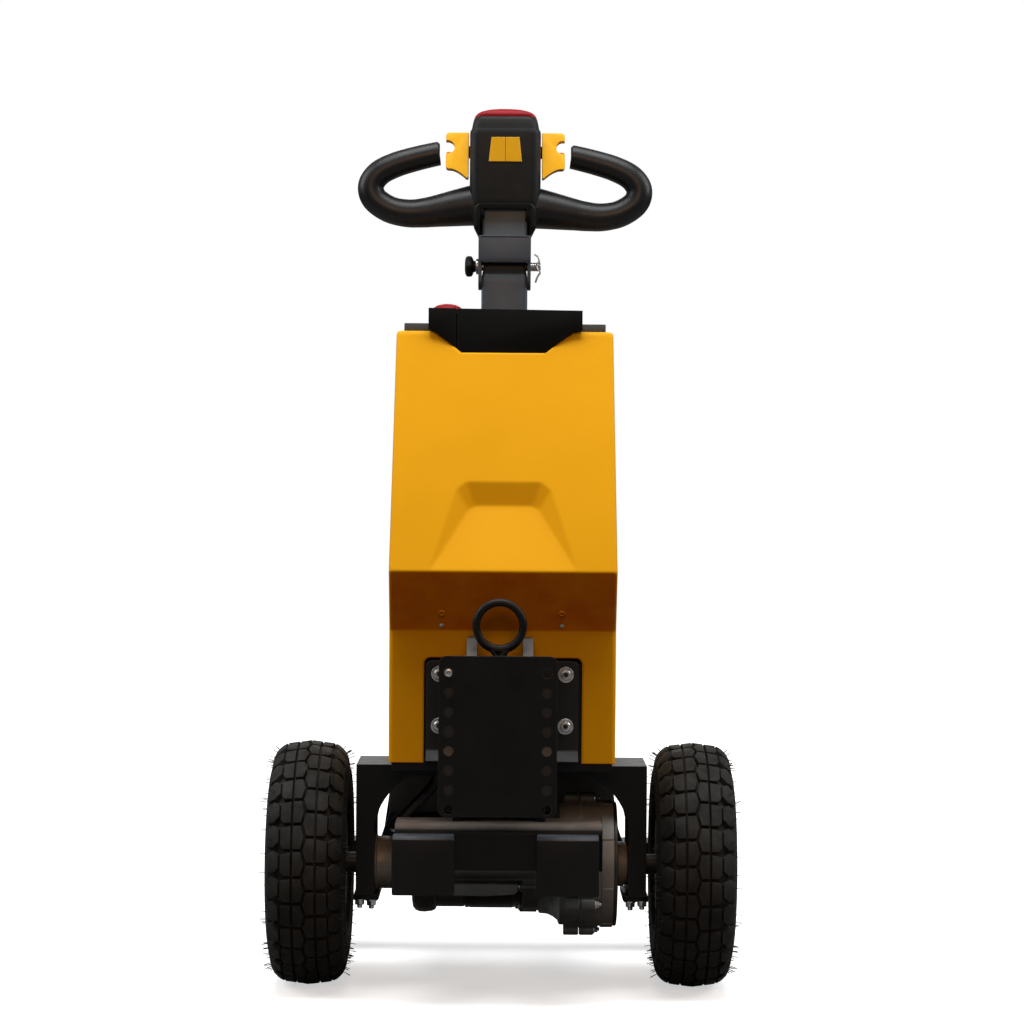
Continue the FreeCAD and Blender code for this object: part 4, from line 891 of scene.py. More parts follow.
def tread(side, mirror):
    """Every block of one half: loops at the base, near the top, and the drawn-in top."""
    pitch = 2 * math.pi / TREAD_ROWS
    rows = np.arange(TREAD_ROWS)[:, None] + (0.5 if mirror > 0 else 0.0)
    shapes = []
    for outline in BLOCKS:
        outline = resampled(outline, 2 * len(outline))
        middle = outline.mean(axis=0)
        for row in rows:
            loops = []
            for grow, lift in ((1.07, -TREAD_HEIGHT - 1), (1.0, -0.9), (0.985, -0.25),
                               (0.93, 0.0)):
                flat = middle + (outline - middle) * grow
                across, radius = tyre_section(mirror * flat[:, 0], lift)
                angle = (row + flat[:, 1]) * pitch
                loops.append(around_axle(across, radius, angle, side))
            shapes.append(loft(np.stack(loops)))
    return shapes


print(len(BLOCKS) * 2 * TREAD_ROWS, "blocks on a tyre")

# %% Mould hairs and whole tyres
HAIR_COUNT, HAIR_SEED, HAIR_RADIUS = 230, 4, 0.55


def vent_hairs(side):
    """Thin rubber hairs left by the mould, seeded, standing on the shoulders."""
    chance = np.random.default_rng(HAIR_SEED)
    run = chance.choice([-1, 1], HAIR_COUNT) * chance.uniform(44, 80, HAIR_COUNT)
    angle = chance.uniform(0, 2 * math.pi, HAIR_COUNT)
    length = chance.uniform(4.5, 10.0, HAIR_COUNT)
    turn = full_turn(3)
    shapes = []
    for loop_run, loop_angle, tall in zip(run, angle, length):
        loops = [around_axle(*tyre_section(loop_run + HAIR_RADIUS * np.cos(turn), lift),
                             loop_angle + HAIR_RADIUS / 155 * np.sin(turn), side)
                 for lift in (-4.0, tall)]
        shapes.append(loft(np.stack(loops)))
    return shapes


for side, word in SIDES:
    shape = joined([carcass(side)] + tread(side, -1) + tread(side, 1) + vent_hairs(side))
    tyre = make_piece("tyre_with_tread_" + word, shape, "tyre", word + "_drive_wheel",
                      crease=32, nodes=["tyre_" + word])
print("tyre has", len(tyre.data.polygons), "faces")

# %% [markdown]
# ## Rims and hubs
# The rim is rolled from sheet: a drop-centre barrel with curled lips and a dished disc. The hub
# is a turned flange with five wheel nuts, its shaft running in to the axle. Both are lathe
# shapes, with the disc's cooling holes left out because the disc is small.

# %% Rim and hub
RIM_BARREL = [(-41, 80), (-44, 82), (-45.5, 85), (-44.5, 88), (-42, 89), (-40.5, 86.5),
              (-38.5, 82.5), (-30, 81), (-14, 79), (-8, 72), (8, 72), (14, 79), (30, 81),
              (38.5, 82.5), (40.5, 86.5), (42, 89), (44.5, 88), (45.5, 85), (44, 82), (41, 80),
              (32, 78), (16, 76.5), (10, 69.5), (-10, 69.5), (-16, 76.5), (-32, 78)]
RIM_DISC = [(-9, 71), (-4, 66), (8, 60), (13, 50), (13, 40), (6, 33), (6, 20),
            (9.5, 20), (9.5, 31.5), (16.5, 39), (16.5, 51.5), (11, 62), (-1, 69), (-5, 71)]
HUB = [(-24, 20), (-24, 44), (-22, 46.5), (-12, 46.5), (-10, 45), (5.9, 45), (5.9, 20), (18, 20),
       (21, 17.5), (22, 12)]
SHAFT = [(-107, 10), (-107, 12.6), (-106, 13.6), (-46, 13.6), (-44, 19), (-23, 20)]
NUT_CIRCLE = 32

for side, word in SIDES:
    body = word + "_drive_wheel"
    centre = (side * WHEEL_X, 0, AXLE_Z)
    barrel, disc, hub, shaft = (np.array(profile) * [side, 1]
                                for profile in (RIM_BARREL, RIM_DISC, HUB, SHAFT))
    rim = joined([turned(barrel, "x", centre, 72, ring=True),
                  turned(disc, "x", centre, 72, ring=True)])
    make_piece("rolled_rim_" + word, rim, "rim_paint", body, crease=30, nodes=["rim_" + word])
    nuts = [aimed(hex_head(8.5, 10, washer=11, stem=5),
                  (side * (WHEEL_X + 11.2), NUT_CIRCLE * math.cos(angle),
                   AXLE_Z + NUT_CIRCLE * math.sin(angle)), (side, 0, 0))
            for angle in np.arange(5) * 2 * math.pi / 5]
    make_piece("hub_and_nuts_" + word, joined([turned(hub, "x", centre)] + nuts), "zinc_steel",
               body, crease=30, nodes=["wheel_hub_" + word])
    make_piece("drive_shaft_" + word, turned(shaft, "x", centre, 32), "motor_paint", body,
               crease=30)
    valve = turned([(0, 3.6), (14, 3.6), (16, 2.8), (16.5, 4.0), (26, 4.0), (27, 3)], "z",
                   ORIGIN, 14)
    make_piece("tyre_valve_" + word, aimed(valve, (side * (WHEEL_X + 20), 0, AXLE_Z + 74),
                                           (side * 1.0, 0, -0.45)), "tyre", body)
print("wheels done")

# %% [markdown]
# ## Tubes that follow a line
# Handle loops, the tow ring, wires and the cable are round bars along a curve. A smooth line is
# run through a few points, and circles square to it are joined; their radius may change.

# %% Lines and tubes
def smooth_line(points, steps=8):
    """A Catmull-Rom curve through all points: each part a cubic set by its four neighbours."""
    points = np.asarray(points, float)
    ends = np.concatenate([[2 * points[0] - points[1]], points, [2 * points[-1] - points[-2]]])
    share = np.linspace(0, 1, steps, endpoint=False)[None, :, None]
    first, second, third, fourth = (ends[n:len(points) - 1 + n, None] for n in range(4))
    line = 0.5 * (2 * second + (third - first) * share
                  + (2 * first - 5 * second + 4 * third - fourth) * share ** 2
                  + (3 * second - first - 3 * third + fourth) * share ** 3)
    return np.concatenate([line.reshape(-1, points.shape[1]), points[-1:]])


def swept(path, radius, sides=20, up=(0, 1, 0), closed=False):
    """A round bar along a path: circles square to it, with a radius for every point."""
    path = np.asarray(path, float)
    if closed:
        ahead = unit(np.roll(path, -1, 0) - np.roll(path, 1, 0))
    else:
        ahead = unit(np.gradient(path, axis=0))
    side = unit(np.cross(np.broadcast_to(up, path.shape), ahead))
    over = np.cross(ahead, side)
    turn = full_turn(sides)[None, :, None]
    wide = np.broadcast_to(radius, len(path))[:, None, None]
    loops = path[:, None] + wide * (np.cos(turn) * side[:, None] + np.sin(turn) * over[:, None])
    return loft(loops, ring=closed)


def stack(sections, corner_points):
    """Rounded rectangles at heights: (z, half width, front, back, corner radius) for each."""
    loops = []
    for z, half, front, back, radius in sections:
        outline = rounded_rectangle(2 * half, back - front, radius, corner_points)
        outline = outline + [0, (front + back) / 2]
        loops.append(np.concatenate([outline, np.full((len(outline), 1), z)], axis=1))
    return loft(np.stack(loops))


print("smooth line of", len(smooth_line([(0, 0), (1, 1), (2, 0)])), "points")

# %% [markdown]
# ## Post, yoke and arm
# The post is a rectangular tube closed by a half round cap about the pivot. The yoke is a short
# sleeve, open in front below the pivot so that it can tilt, and the arm is a tube that carries
# the head. Tubes have rounded corners, so they are stacks of rounded rectangles.

# %% Post and arm
PIVOT_Z, HALF_POST, LEFT_SHIFT = 980.0, 31.6, -1.3


def shifted(shape, across):
    """The same shape moved by some millimetres across the machine."""
    return shape[0] + [across, 0, 0], shape[1]


post_sections = [*[(z, HALF_POST, 40, 80, 5) for z in (314, 820, 957)],
                 (962, 31.4, 40.6, 80, 5),
                 (968, 30.8, 42.8, 79, 5), (974, 29.8, 46.4, 77, 5), (981, 28.6, 49, 74, 5),
                 (993, 27.5, 51, 70, 5), (998, 25, 54, 66, 5)]
make_piece("round_topped_post", shifted(stack(post_sections, 5), LEFT_SHIFT), "grey_paint",
           "chassis", crease=50, nodes=["tiller_post"])
arm_sections = [(z, 31.0, 40, 80, 4.5) for z in (1021.5, 1060, 1120)]
make_piece("square_arm", shifted(stack(arm_sections, 5), LEFT_SHIFT), "light_grey",
           "tiller_handle", nodes=["tiller_arm"])

print("post of", len(post_sections), "loops and arm of", len(arm_sections))

# %% Yoke
YOKE_HALF, YOKE_WALL, YOKE_FRONT, YOKE_BACK = 36.0, 4.6, 34.0, 86.0
cheek = rounded_path([(YOKE_FRONT + 3, 1021), (YOKE_FRONT + 3, 948), (YOKE_BACK - 3, 948),
                      (YOKE_BACK - 3, 1021)], [12, 12], step=15)
cheek_middle = YOKE_HALF - YOKE_WALL / 2
parts = [slab(cheek, side * cheek_middle - YOKE_WALL / 2, side * cheek_middle + YOKE_WALL / 2,
              "yz", 0.8, 1) for side in (-1, 1)]
for front, low in ((YOKE_FRONT, 984), (YOKE_BACK - YOKE_WALL, 994)):
    face = rounded_path([(-YOKE_HALF, 1021), (-YOKE_HALF, low), (YOKE_HALF, low),
                         (YOKE_HALF, 1021)], [8, 8], step=12)
    parts.append(slab(face, front, front + YOKE_WALL, "xz", 1.4, 2))
top_plate = slab(rounded_rectangle(2 * YOKE_HALF, YOKE_BACK - YOKE_FRONT, 4) + [0, 60],
                 1017, 1021.4, "xy", 1.4, 2)
make_piece("pivot_yoke", shifted(joined(parts + [top_plate]), LEFT_SHIFT), "grey_paint",
           "tiller_handle", nodes=["tiller_yoke"])
print("post, arm and yoke made")

# %% [markdown]
# ## The head
# A plastic housing holds the levers: a rounded box, a little narrower at the top, with a step
# under the belly button, a lip around the arm's opening, and two flaps that reach down beside
# the arm. The red button wraps over its top. All parts are stacks of rounded rectangles.

# %% Head housing
HEAD_HALF, HEAD_FRONT, HEAD_BACK = 48.6, 27.0, 93.0
head_sections = [(1057.5, 45.2, 29.5, 90, 12), (1060, 46.4, 28.2, 91.5, 13),
                 (1072, 47.6, 27.4, 92.5, 14),
                 *[(z, HEAD_HALF, HEAD_FRONT, HEAD_BACK, 14) for z in (1087, 1120, 1160)],
                 (1164, 48.0, 27.6, 92.5, 14), (1166, 46.6, 28.4, 91.6, 13.5),
                 (1168, 45.9, 29.0, 91, 13), (1172, 45.2, 29.8, 90.2, 12.5),
                 (1179, 42.8, 31.6, 88.4, 12), (1182.6, 40.8, 33.0, 86.6, 11),
                 (1184.0, 38.6, 34.6, 85, 10)]
make_piece("head_housing", shifted(stack(head_sections, 7), LEFT_SHIFT), "black_plastic",
           "tiller_handle", crease=40, nodes=["tiller_head"])


def flap_section(z, half, front, back, wall):
    """A channel open in front, as one closed loop of eight corners."""
    flat = np.array([(-half, front), (-half, back), (half, back), (half, front),
                     (half - wall, front), (half - wall, back - wall),
                     (-half + wall, back - wall), (-half + wall, front)])
    return np.concatenate([flat, np.full((8, 1), z)], axis=1)


flap_rows = [(1060, 46.2, 28.6, 91, 11.8), (1046, 45.4, 30, 90, 11.2), (1034, 42.6, 34, 88, 8.6),
             (1024, 37.6, 39, 86, 4.2), (1016, 34.2, 43, 84, 1.4)]
flaps = loft(np.stack([flap_section(*row) for row in flap_rows]))
make_piece("head_flaps", shifted(flaps, LEFT_SHIFT), "black_plastic", "tiller_handle",
           bevel=2.0, crease=50)

lip_path = rounded_path([(-41.0, 1034), (-41.0, 1063.5), (38.4, 1063.5), (38.4, 1034)], [9, 9],
                        step=15)
lip_path = np.stack([lip_path[:, 0], 30.4 + 0 * lip_path[:, 0], lip_path[:, 1]], axis=1)
lip_path[:, 1] += np.clip((1048 - lip_path[:, 2]) / 4.0, 0, 5)
make_piece("opening_lip", swept(lip_path, 2.6, 14), "black_plastic", "tiller_handle")

print("housing of", len(head_sections), "loops, flaps of", len(flap_rows))

# %% Belly button and label
button_sections = [(1167, 44.0, 44, 88, 10), (1172, 45.6, 42, 90, 11),
                   (1180, 43.8, 40, 90, 11), (1185, 41.6, 36.6, 88.6, 11),
                   (1188.6, 38.6, 37.4, 87, 11), (1191.6, 33.5, 39, 85, 11),
                   (1194, 25, 42, 82, 10), (1195.6, 13, 48, 75, 8)]
make_piece("belly_button", shifted(stack(button_sections, 7), LEFT_SHIFT), "red_plastic",
           "tiller_handle", crease=50, nodes=["reverse_button"])

plates = []
for side in (-1, 1):
    half = np.array([(0.3, 1121.4), (22.6, 1121.4), (19.0, 1154.6), (0.3, 1154.6)])
    half = (half * [side, 1])[::side]
    plates.append(slab(half, HEAD_FRONT - 0.9, HEAD_FRONT + 1, "xz", 0.3, 1))
make_piece("bare_label", shifted(joined(plates), LEFT_SHIFT), "yellow_plastic",
           "tiller_handle")
print("head done")

# %% [markdown]
# ## Speed levers
# Two butterfly levers of bright plastic sit beside the head. Each has a round finger notch in
# its outer edge and a lower edge that sweeps down to a point by the head. It is an outline cut
# from a thick sheet and rounded at both faces, because that is how it reads from any side.

# %% Levers
def lever_outline(side):
    """Counter-clockwise outline of one lever: straight top, finger notch, swept lower edge."""
    turn = np.radians(np.linspace(76.5, 283.5, 17))
    notch = np.stack([79.4 + 9.6 * np.cos(turn), 1143.0 + 9.2 * np.sin(turn)], axis=1)
    top = rounded_path([(50.4, 1163.8), (81.8, 1163.8), (81.8, notch[0, 1])], [5.0], step=25)
    low = rounded_path([(81.8, notch[-1, 1]), (81.8, 1112.0), (75.0, 1112.0)], [4.0], step=25)
    drop = np.linspace(0, 1, 9)[1:]
    sweep = np.stack([75.0 - 21.6 * drop, 1112.0 - 12.6 * drop ** 1.6], axis=1)
    foot = np.array([(51.0, 1099.2), (50.4, 1101)])
    outline = np.concatenate([top[:-1], notch, low[1:], sweep, foot])
    return outline[::-1] if side > 0 else outline * [-1, 1]


for side, word in SIDES:
    points, faces = slab(lever_outline(side), 46, 74, "xz", 1.0, 2)
    points[:, 1] += (points[:, 2] - 1134) * 0.32
    points[:, 0] += LEFT_SHIFT
    make_piece("speed_lever_" + word, (points, faces), "yellow_plastic", "tiller_handle",
               crease=22, nodes=["throttle_" + word])
    boss = turned([(-2.4, 8.5), (2.4, 8.5)], "x", (side * 49, 60, 1137), 20)
    make_piece("lever_boss_" + word, boss, "black_plastic", "tiller_handle")
    # A darker orange block at the bottom of the finger notch is painted shade inside the notch.
    notch_shade_block = slab(rounded_rectangle(11, 5, 2.4, 4) + [side * 76.0 + LEFT_SHIFT, 1134.2], 52, 69,
               "xz", 1, 1)
    make_piece("lever_notch_painted_shade_" + word, notch_shade_block, "orange_plastic", "tiller_handle")
print("levers done")

# %% [markdown]
# ## Handle loops
# Each hand grip is a rubber-covered tube that leaves the head as a thick root, sweeps out and
# down, turns around and comes back towards the lever, where it ends in a flat cut. The line and
# the thickness both change along it, which a plain bent tube could not show.

# %% Loops
loop_line = smooth_line([(92.0, 1134.6), (121.5, 1127.6), (150.2, 1118.9), (173, 1107.2),
                         (184.6, 1090.4), (180, 1072), (159.5, 1057.6), (135.5, 1052.2),
                         (112, 1053), (83.5, 1057.2), (50, 1062.6), (30, 1065)], 9)
loop_length = run_along(loop_line)
girth_at = np.array([0, 60, 130, 190, 222, 246, 276, 310, 330])
girth = np.array([33.0, 34.5, 36.0, 37.5, 39.4, 42.4, 48.6, 55.6, 58.0])
LOOP_DROP = {-1: 0.4, 1: -3.0}
for side, word in SIDES:
    path = np.stack([side * loop_line[:, 0], 60 + 0 * loop_length, loop_line[:, 1]], axis=1)
    thick = np.interp(loop_length, girth_at * loop_length[-1] / 330, girth) / 2
    path[0] = path[1] + [-side * 3.4, 0, 0.6]
    ends = path[0] + np.array([[-1.6, 0, 0.2], [-1.4, 0, 0.2], [-0.8, 0, 0.1]]) * [side, 1, 1]
    path = np.concatenate([ends, path]) + [LEFT_SHIFT, 0, LOOP_DROP[side]]
    thick = np.concatenate([thick[:1] - 3.0, thick[:1] - 1.3, thick[:1] - 0.3, thick])
    make_piece("hand_loop_" + word, swept(path, thick, 32), "grip_rubber", "tiller_handle",
               crease=50, nodes=["handle_loop_" + word])
print("loop runs %.0f mm" % loop_length[-1])

# %% [markdown]
# ## Pivot hardware
# The tilt pivot is a zinc pin held by a spring clip on one side and clamped by a star knob on
# the other. The knob is a lathe shape whose radius waves around the axis for the fingers.

# %% Star knob, pin and clip
def star_knob(centre, lobes=6, segments=60):
    """Turned profile with finger hollows: the radius dips between the lobes."""
    profile = np.array([(0, 7.5), (-3, 8), (-4.4, 12.5), (-6.2, 15.2), (-10.8, 15.5),
                        (-13.2, 14.2), (-14.6, 11), (-15.2, 6)])
    angle = full_turn(segments)
    dip = np.clip((profile[:, 1:] - 8) / 7.5, 0, 1) * 0.17 * (0.5 - 0.5 * np.cos(lobes * angle))
    radius = profile[:, 1:] * (1 - dip)
    loops = np.stack([np.broadcast_to(centre[0] + profile[:, :1], radius.shape),
                      centre[1] + radius * np.cos(angle), centre[2] + radius * np.sin(angle)],
                     axis=-1)
    return loft(loops)


make_piece("star_knob", star_knob((-40.8, 60, PIVOT_Z)), "black_plastic", "tiller_handle",
           crease=50, nodes=["lock_knob"])
pin_profile = [(-41, 6), (47, 6), (48.5, 5)]
pin_washer = [(-40.6, 6), (-40.6, 10.5), (-38.8, 11), (-37.2, 10.5), (-37.2, 6)]
clip_line = smooth_line([(39.5, 60, 997), (44.5, 60, 993.5), (46.4, 60, 987.5), (43.4, 60, 983),
                         (43.4, 60, 977), (47.8, 60, 972.5), (44.2, 60, 966), (41.2, 60, 958)], 5)
pivot = joined([turned(pin_profile, "x", (0, 60, PIVOT_Z), 24),
                turned(pin_washer, "x", (0, 60, PIVOT_Z), 24),
                swept(clip_line + [0, -6.4, 0], 1.3, 10)])
make_piece("pivot_pin_and_clip", pivot, "zinc_steel", "tiller_handle", nodes=["pivot_pin"])
print("pivot done")

# %% [markdown]
# ## Hood, stop button and deck
# The hood is a black box in two parts that meet in a fine seam; its front plate reaches down
# into the wedge cut out of the cover. Beside it the grey deck plate shows its edge. The stop
# button is a red mushroom on a collar, turned on a lathe.

# %% Hood
HOOD_FRONT, SEAM, HOOD_LOW = -57.5, -65.0, 856.9
wedge_left, wedge_right = -58.1, 54.5
seam_low = 886.0 - (SEAM + 95.0) * (886.0 - HOOD_LOW) / (wedge_left + 95.0)
left_face = [(-102.6, 886.7), (-95, 886.0), (SEAM - 0.4, seam_low), (SEAM - 0.4, 916.2),
             (-102.6, 916.4)]
right_face = [(SEAM + 0.4, seam_low), (wedge_left, HOOD_LOW), (wedge_right, HOOD_LOW),
              (91.4, 886.0), (103.8, 886.7), (103.8, 914.0), (SEAM + 0.4, 915.8)]
hood_side = [(-50, 887), (16, 887), (16, 903), (-50, 914.2)]
hood_parts = [slab(left_face, HOOD_FRONT, -49, "xz", 0.9, 2),
              slab(right_face, HOOD_FRONT, -49, "xz", 0.9, 2),
              slab(hood_side, -102.0, SEAM - 0.4, "yz", 0.9, 2),
              slab(hood_side, SEAM + 0.4, 103.2, "yz", 0.9, 2)]
make_piece("two_part_hood", joined(hood_parts), "hood_black", "chassis", crease=35,
           nodes=["control_box"])

print("seam at x %.1f, from z %.1f up" % (SEAM, seam_low))

# %% Stop button and deck plate
STOP_X, STOP_Y = -78.0, -16.0
collar = turned([(906, 12), (906, 21), (911.5, 21), (913, 19.5), (913, 12)], "z",
                (STOP_X, STOP_Y, 0), 40)
make_piece("stop_collar", collar, "black_plastic", "chassis")
dome = [(912.8, 14), (914, 18.4), (915.2, 19.5), (917.0, 19.3), (919.2, 17.8), (921.2, 14.8),
        (922.8, 10.6), (923.7, 5.6), (924.0, 1.6)]
make_piece("stop_mushroom", turned(dome, "z", (STOP_X, STOP_Y, 0), 40), "red_plastic",
           "chassis", crease=50, nodes=["emergency_stop"])
deck_outline = rounded_rectangle(275, 88, 3) + [0, 61]
make_piece("deck_sheet", slab(deck_outline, 886.6, 899.4, "xy", 0.8, 2), "grey_paint",
           "chassis", nodes=["deck_plate"])
print("hood, stop button and deck made")

# %% [markdown]
# ## Axle drive
# The drive is a cast two-part gear housing with six screw lugs, an electric motor beside it
# with a brake cap, and the axle tube with a ribbed flange. Housing halves meet in a bead; every
# lug is split in the same plane and holds a screw. All of it is turned or lofted.

# %% Gear housing
def spun(shape, axis, angle):
    """A shape turned about an axis through the origin: the two other coordinates rotate."""
    points, faces = shape
    main = "xyz".index(axis)
    first, second = (main + 1) % 3, (main + 2) % 3
    moved = points.copy()
    moved[:, first] = points[:, first] * math.cos(angle) - points[:, second] * math.sin(angle)
    moved[:, second] = points[:, first] * math.sin(angle) + points[:, second] * math.cos(angle)
    return moved, faces


def on_circle(middle, radius, angle):
    """A point on a circle that faces along x, about the middle (y, z)."""
    return np.array([0, middle[0] + radius * math.cos(angle),
                     middle[1] + radius * math.sin(angle)])


MOTOR_Y, MOTOR_Z = 118.0, 147.0
LUG_CIRCLE, NECK_LUG_CIRCLE = 89.3, 57
drum = [(77, 58), (77, 79), (79, 82.6), (103.6, 83.6), (104.0, 86.4), (105.7, 86.6),
        (105.8, 84.8), (106.4, 84.8), (106.5, 86.6), (108.2, 86.4), (108.6, 84.2),
        (134.0, 84.2), (135.0, 85.8), (150.2, 85.8), (151.4, 84.6), (151.4, 50)]
housing = [turned(drum, "x", (0, 0, AXLE_Z), 96)]
screws = []
for angle in np.radians(np.arange(6) * 60 + 30):
    place = on_circle((0, AXLE_Z), LUG_CIRCLE, angle)
    for low, high in ((85, 105.7), (106.5, 126)):
        lug = [(low, 5), (low, 7.2), (low + 1.4, 8.4), (high - 1.4, 8.4), (high, 7.2), (high, 5)]
        housing.append(turned(lug, "x", place, 20))
    screws.append(aimed(hex_head(5.0, 4.6, washer=6.6, stem=2.4), place + [127.6, 0, 0],
                        (1, 0, 0)))
rib = slab(rounded_rectangle(15.4, 3.0, 1, 3) + [143, 0], 84.6, 87.2, "xy", 0.5, 1)
for angle in np.radians(12 + 46 * np.arange(8)):
    points, faces = spun(rib, "x", angle - math.pi / 2)
    housing.append((points + [0, 0, AXLE_Z], faces))

print(len(housing), "castings in the housing so far")

# %% Neck between housing and motor
def moved_circles(rows, segments=64):
    """Circles facing along x whose centre and radius change from row to row."""
    turn = full_turn(segments)
    rows = np.asarray(rows, float)[:, :, None]
    return loft(np.stack(np.broadcast_arrays(rows[:, 0], rows[:, 1] + rows[:, 3] * np.cos(turn),
                                             rows[:, 2] + rows[:, 3] * np.sin(turn)), axis=-1))


housing.append(moved_circles([
    (30, MOTOR_Y, MOTOR_Z, 58), (30, MOTOR_Y, MOTOR_Z, 62.2), (31.5, MOTOR_Y, MOTOR_Z, 63.4),
    (51, MOTOR_Y, MOTOR_Z, 63.4), (52.4, MOTOR_Y, MOTOR_Z, 64.5), (54, MOTOR_Y - 2, MOTOR_Z, 67),
    (64, MOTOR_Y - 20, MOTOR_Z + 4, 69), (71, 56, 159, 74), (78, 24, 163, 79)]))
for angle in np.radians(np.arange(6) * 60 + 23):
    place = on_circle((MOTOR_Y, MOTOR_Z), NECK_LUG_CIRCLE, angle)
    housing.append(turned([(26, 5), (26, 7.6), (27, 8.6), (50, 8.6), (50, 5)], "x", place, 20))
    screws.append(aimed(hex_head(4.8, 4.4, washer=6.4, stem=3), place + [24.4, 0, 0],
                        (-1, 0, 0)))
seal_flange = [(151.6, 50), (151.6, 82.4), (152.4, 83.8), (155.4, 83.8), (156.2, 82.6), (156.4, 58.5),
               (157.4, 57.5), (158.0, 34), (158, 20)]
housing.append(turned([(157, 22), (157, 29.4), (158.2, 30.4), (166, 30.4), (166.6, 28.6),
                       (173, 28.4), (173.6, 27)], "x", (0, 0, AXLE_Z), 56))
make_piece("gear_housing", joined(housing), "cast_aluminium", "chassis", crease=32,
           nodes=["gearbox"])
make_piece("housing_screws", joined(screws), "zinc_steel", "chassis", crease=30)
make_piece("axle_seal_flange", turned(seal_flange, "x", (0, 0, AXLE_Z), 72), "motor_paint",
           "chassis", crease=30)

print(len(housing), "castings and", len(screws), "screws in the housing")

# %% Motor, brake cap and axle tube
def about_motor(profile):
    """A lathe shape about the motor's axis."""
    return turned(profile, "x", (0, MOTOR_Y, MOTOR_Z), 72)


motor = [(-50, 40), (-50, 58.6), (-49, 60), (-46, 60), (-45.4, 59.2), (-44.6, 59.2), (-44, 60),
         (15, 60), (17, 59), (17.4, 56.8), (22, 56.4), (31, 56), (31, 36)]
make_piece("motor_body", about_motor(motor), "motor_paint", "chassis", nodes=["drive_motor"])
sleeve = [(-101, 40), (-101, 57.6), (-99, 58.8), (-52, 58.8), (-50.4, 57.6), (-50.4, 40)]
make_piece("motor_sleeve", about_motor(sleeve), "motor_grey", "chassis")
cap = [(-90, 50), (-90, 60.5), (-91.5, 63), (-96, 65.2), (-106, 66.4), (-114, 66), (-119.5, 63.4),
       (-122.8, 58.8), (-123.8, 52), (-124, 30), (-123.4, 29), (-123.4, 8)]
make_piece("brake_cap", about_motor(cap), "motor_grey", "chassis", crease=50,
           nodes=["motor_brake_cap"])
flange = [(-172, 24), (-172, 37), (-171.2, 38), (-168.6, 38), (-167.8, 37), (-167.4, 35.4),
          (-148.4, 35.4), (-147, 34), (-145.6, 30), (-139, 25.4), (-136, 23.6), (60, 23.6),
          (77.5, 30)]
strap = slab([(-146, 125.4), (-20, 124.0), (18, 126.4), (23, 131), (23, 140.6), (-146, 140.6)],
             -34, -27.5, "xz", 0.8, 1)
hanger = slab([(-34, 124.6), (24, 124.6), (30, 165), (-30, 165)], -146, -140, "yz", 0.8, 1)
make_piece("axle_tube_and_strap", joined([turned(flange, "x", (0, 0, AXLE_Z), 56), strap,
                                          hanger]),
           "cast_aluminium", "chassis", crease=32, nodes=["axle_tube"])
print("axle drive done")

# %% [markdown]
# ## Frame plates
# Beam, legs, base plate and brackets are cut and welded plate. Their shape in the CAD is right,
# so softened copies carry them, each with the edge radius its thickness would have.

# %% Softened plates
for node, finish, width in (
        ("axle_frame", "charcoal_paint", 1.6), ("base_plate", "charcoal_paint", 1.0),
        ("mount_plate", "mount_paint", 1.4), ("coupling_bracket", "bracket_grey", 1.6),
        ("coupling_plate", "charcoal_paint", 1.8), ("chassis_box", "bracket_grey", 2.0),
        ("rear_bracket", "charcoal_paint", 2.0), ("caster_beam", "charcoal_paint", 2.0),
        ("battery_pack", "battery_case", 3.0), ("caster_head_left", "zinc_steel", 0.8),
        ("caster_head_right", "zinc_steel", 0.8), ("caster_fork_left", "zinc_steel", 0.9),
        ("caster_fork_right", "zinc_steel", 0.9)):
    softened(node, finish, width)
print("plates softened")

# %% [markdown]
# ## Front guard and pads
# The guard is a thick sheet folded over with a wide bend, whose top catches the light. Two
# rubber pads sit on its face, each with a slanted upper edge. Both are outlines seen from the
# side, carried across the machine.

# %% Guard
GUARD_LEFT, GUARD_RIGHT, GUARD_MIDDLE = -139.0, 132.0, -3.5
outer_fold = rounded_path([(-176, 178), (-176, 237), (-90, 237)], [13], step=7)
inner_fold = rounded_path([(-90, 229), (-168, 229), (-168, 178)], [5], step=7)
fold = np.concatenate([outer_fold, inner_fold])
guard_parts = [slab(fold, GUARD_LEFT, GUARD_RIGHT, "yz", 0.9, 2)]
arm_side = [(-134, 235), (-92, 235), (-92, 304), (-134, 304)]
for side in (-1, 1):
    middle = GUARD_MIDDLE + side * 55
    guard_parts.append(slab(arm_side, middle - 6, middle + 6, "yz", 0.9, 1))
make_piece("folded_guard", joined(guard_parts), "guard_paint", "chassis", crease=32,
           nodes=["front_guard"])

print("guard %.0f mm wide" % (GUARD_RIGHT - GUARD_LEFT))

# %% Pads
pad_corners = [(-176, 148), (-200, 148), (-200, 220.5), (-194.5, 226), (-176, 226)]
for word, left in (("left", -141.5), ("right", 46.0)):
    side_outline = rounded_path(pad_corners, [3, 1.5, 1.5], step=20)[::-1]
    shape = slab(side_outline, left, left + 81, "yz", 2.4, 3)
    make_piece("rubber_pad_" + word, shape, "pad_rubber", "chassis", crease=38,
               nodes=["bumper_pad_" + word])
print("guard and pads done")

# %% [markdown]
# ## Tow pin
# The pin is a plain bar with a forged ring on top to pull it out by; a short neck widens into
# the ring. The ring is a round bar along a circle.

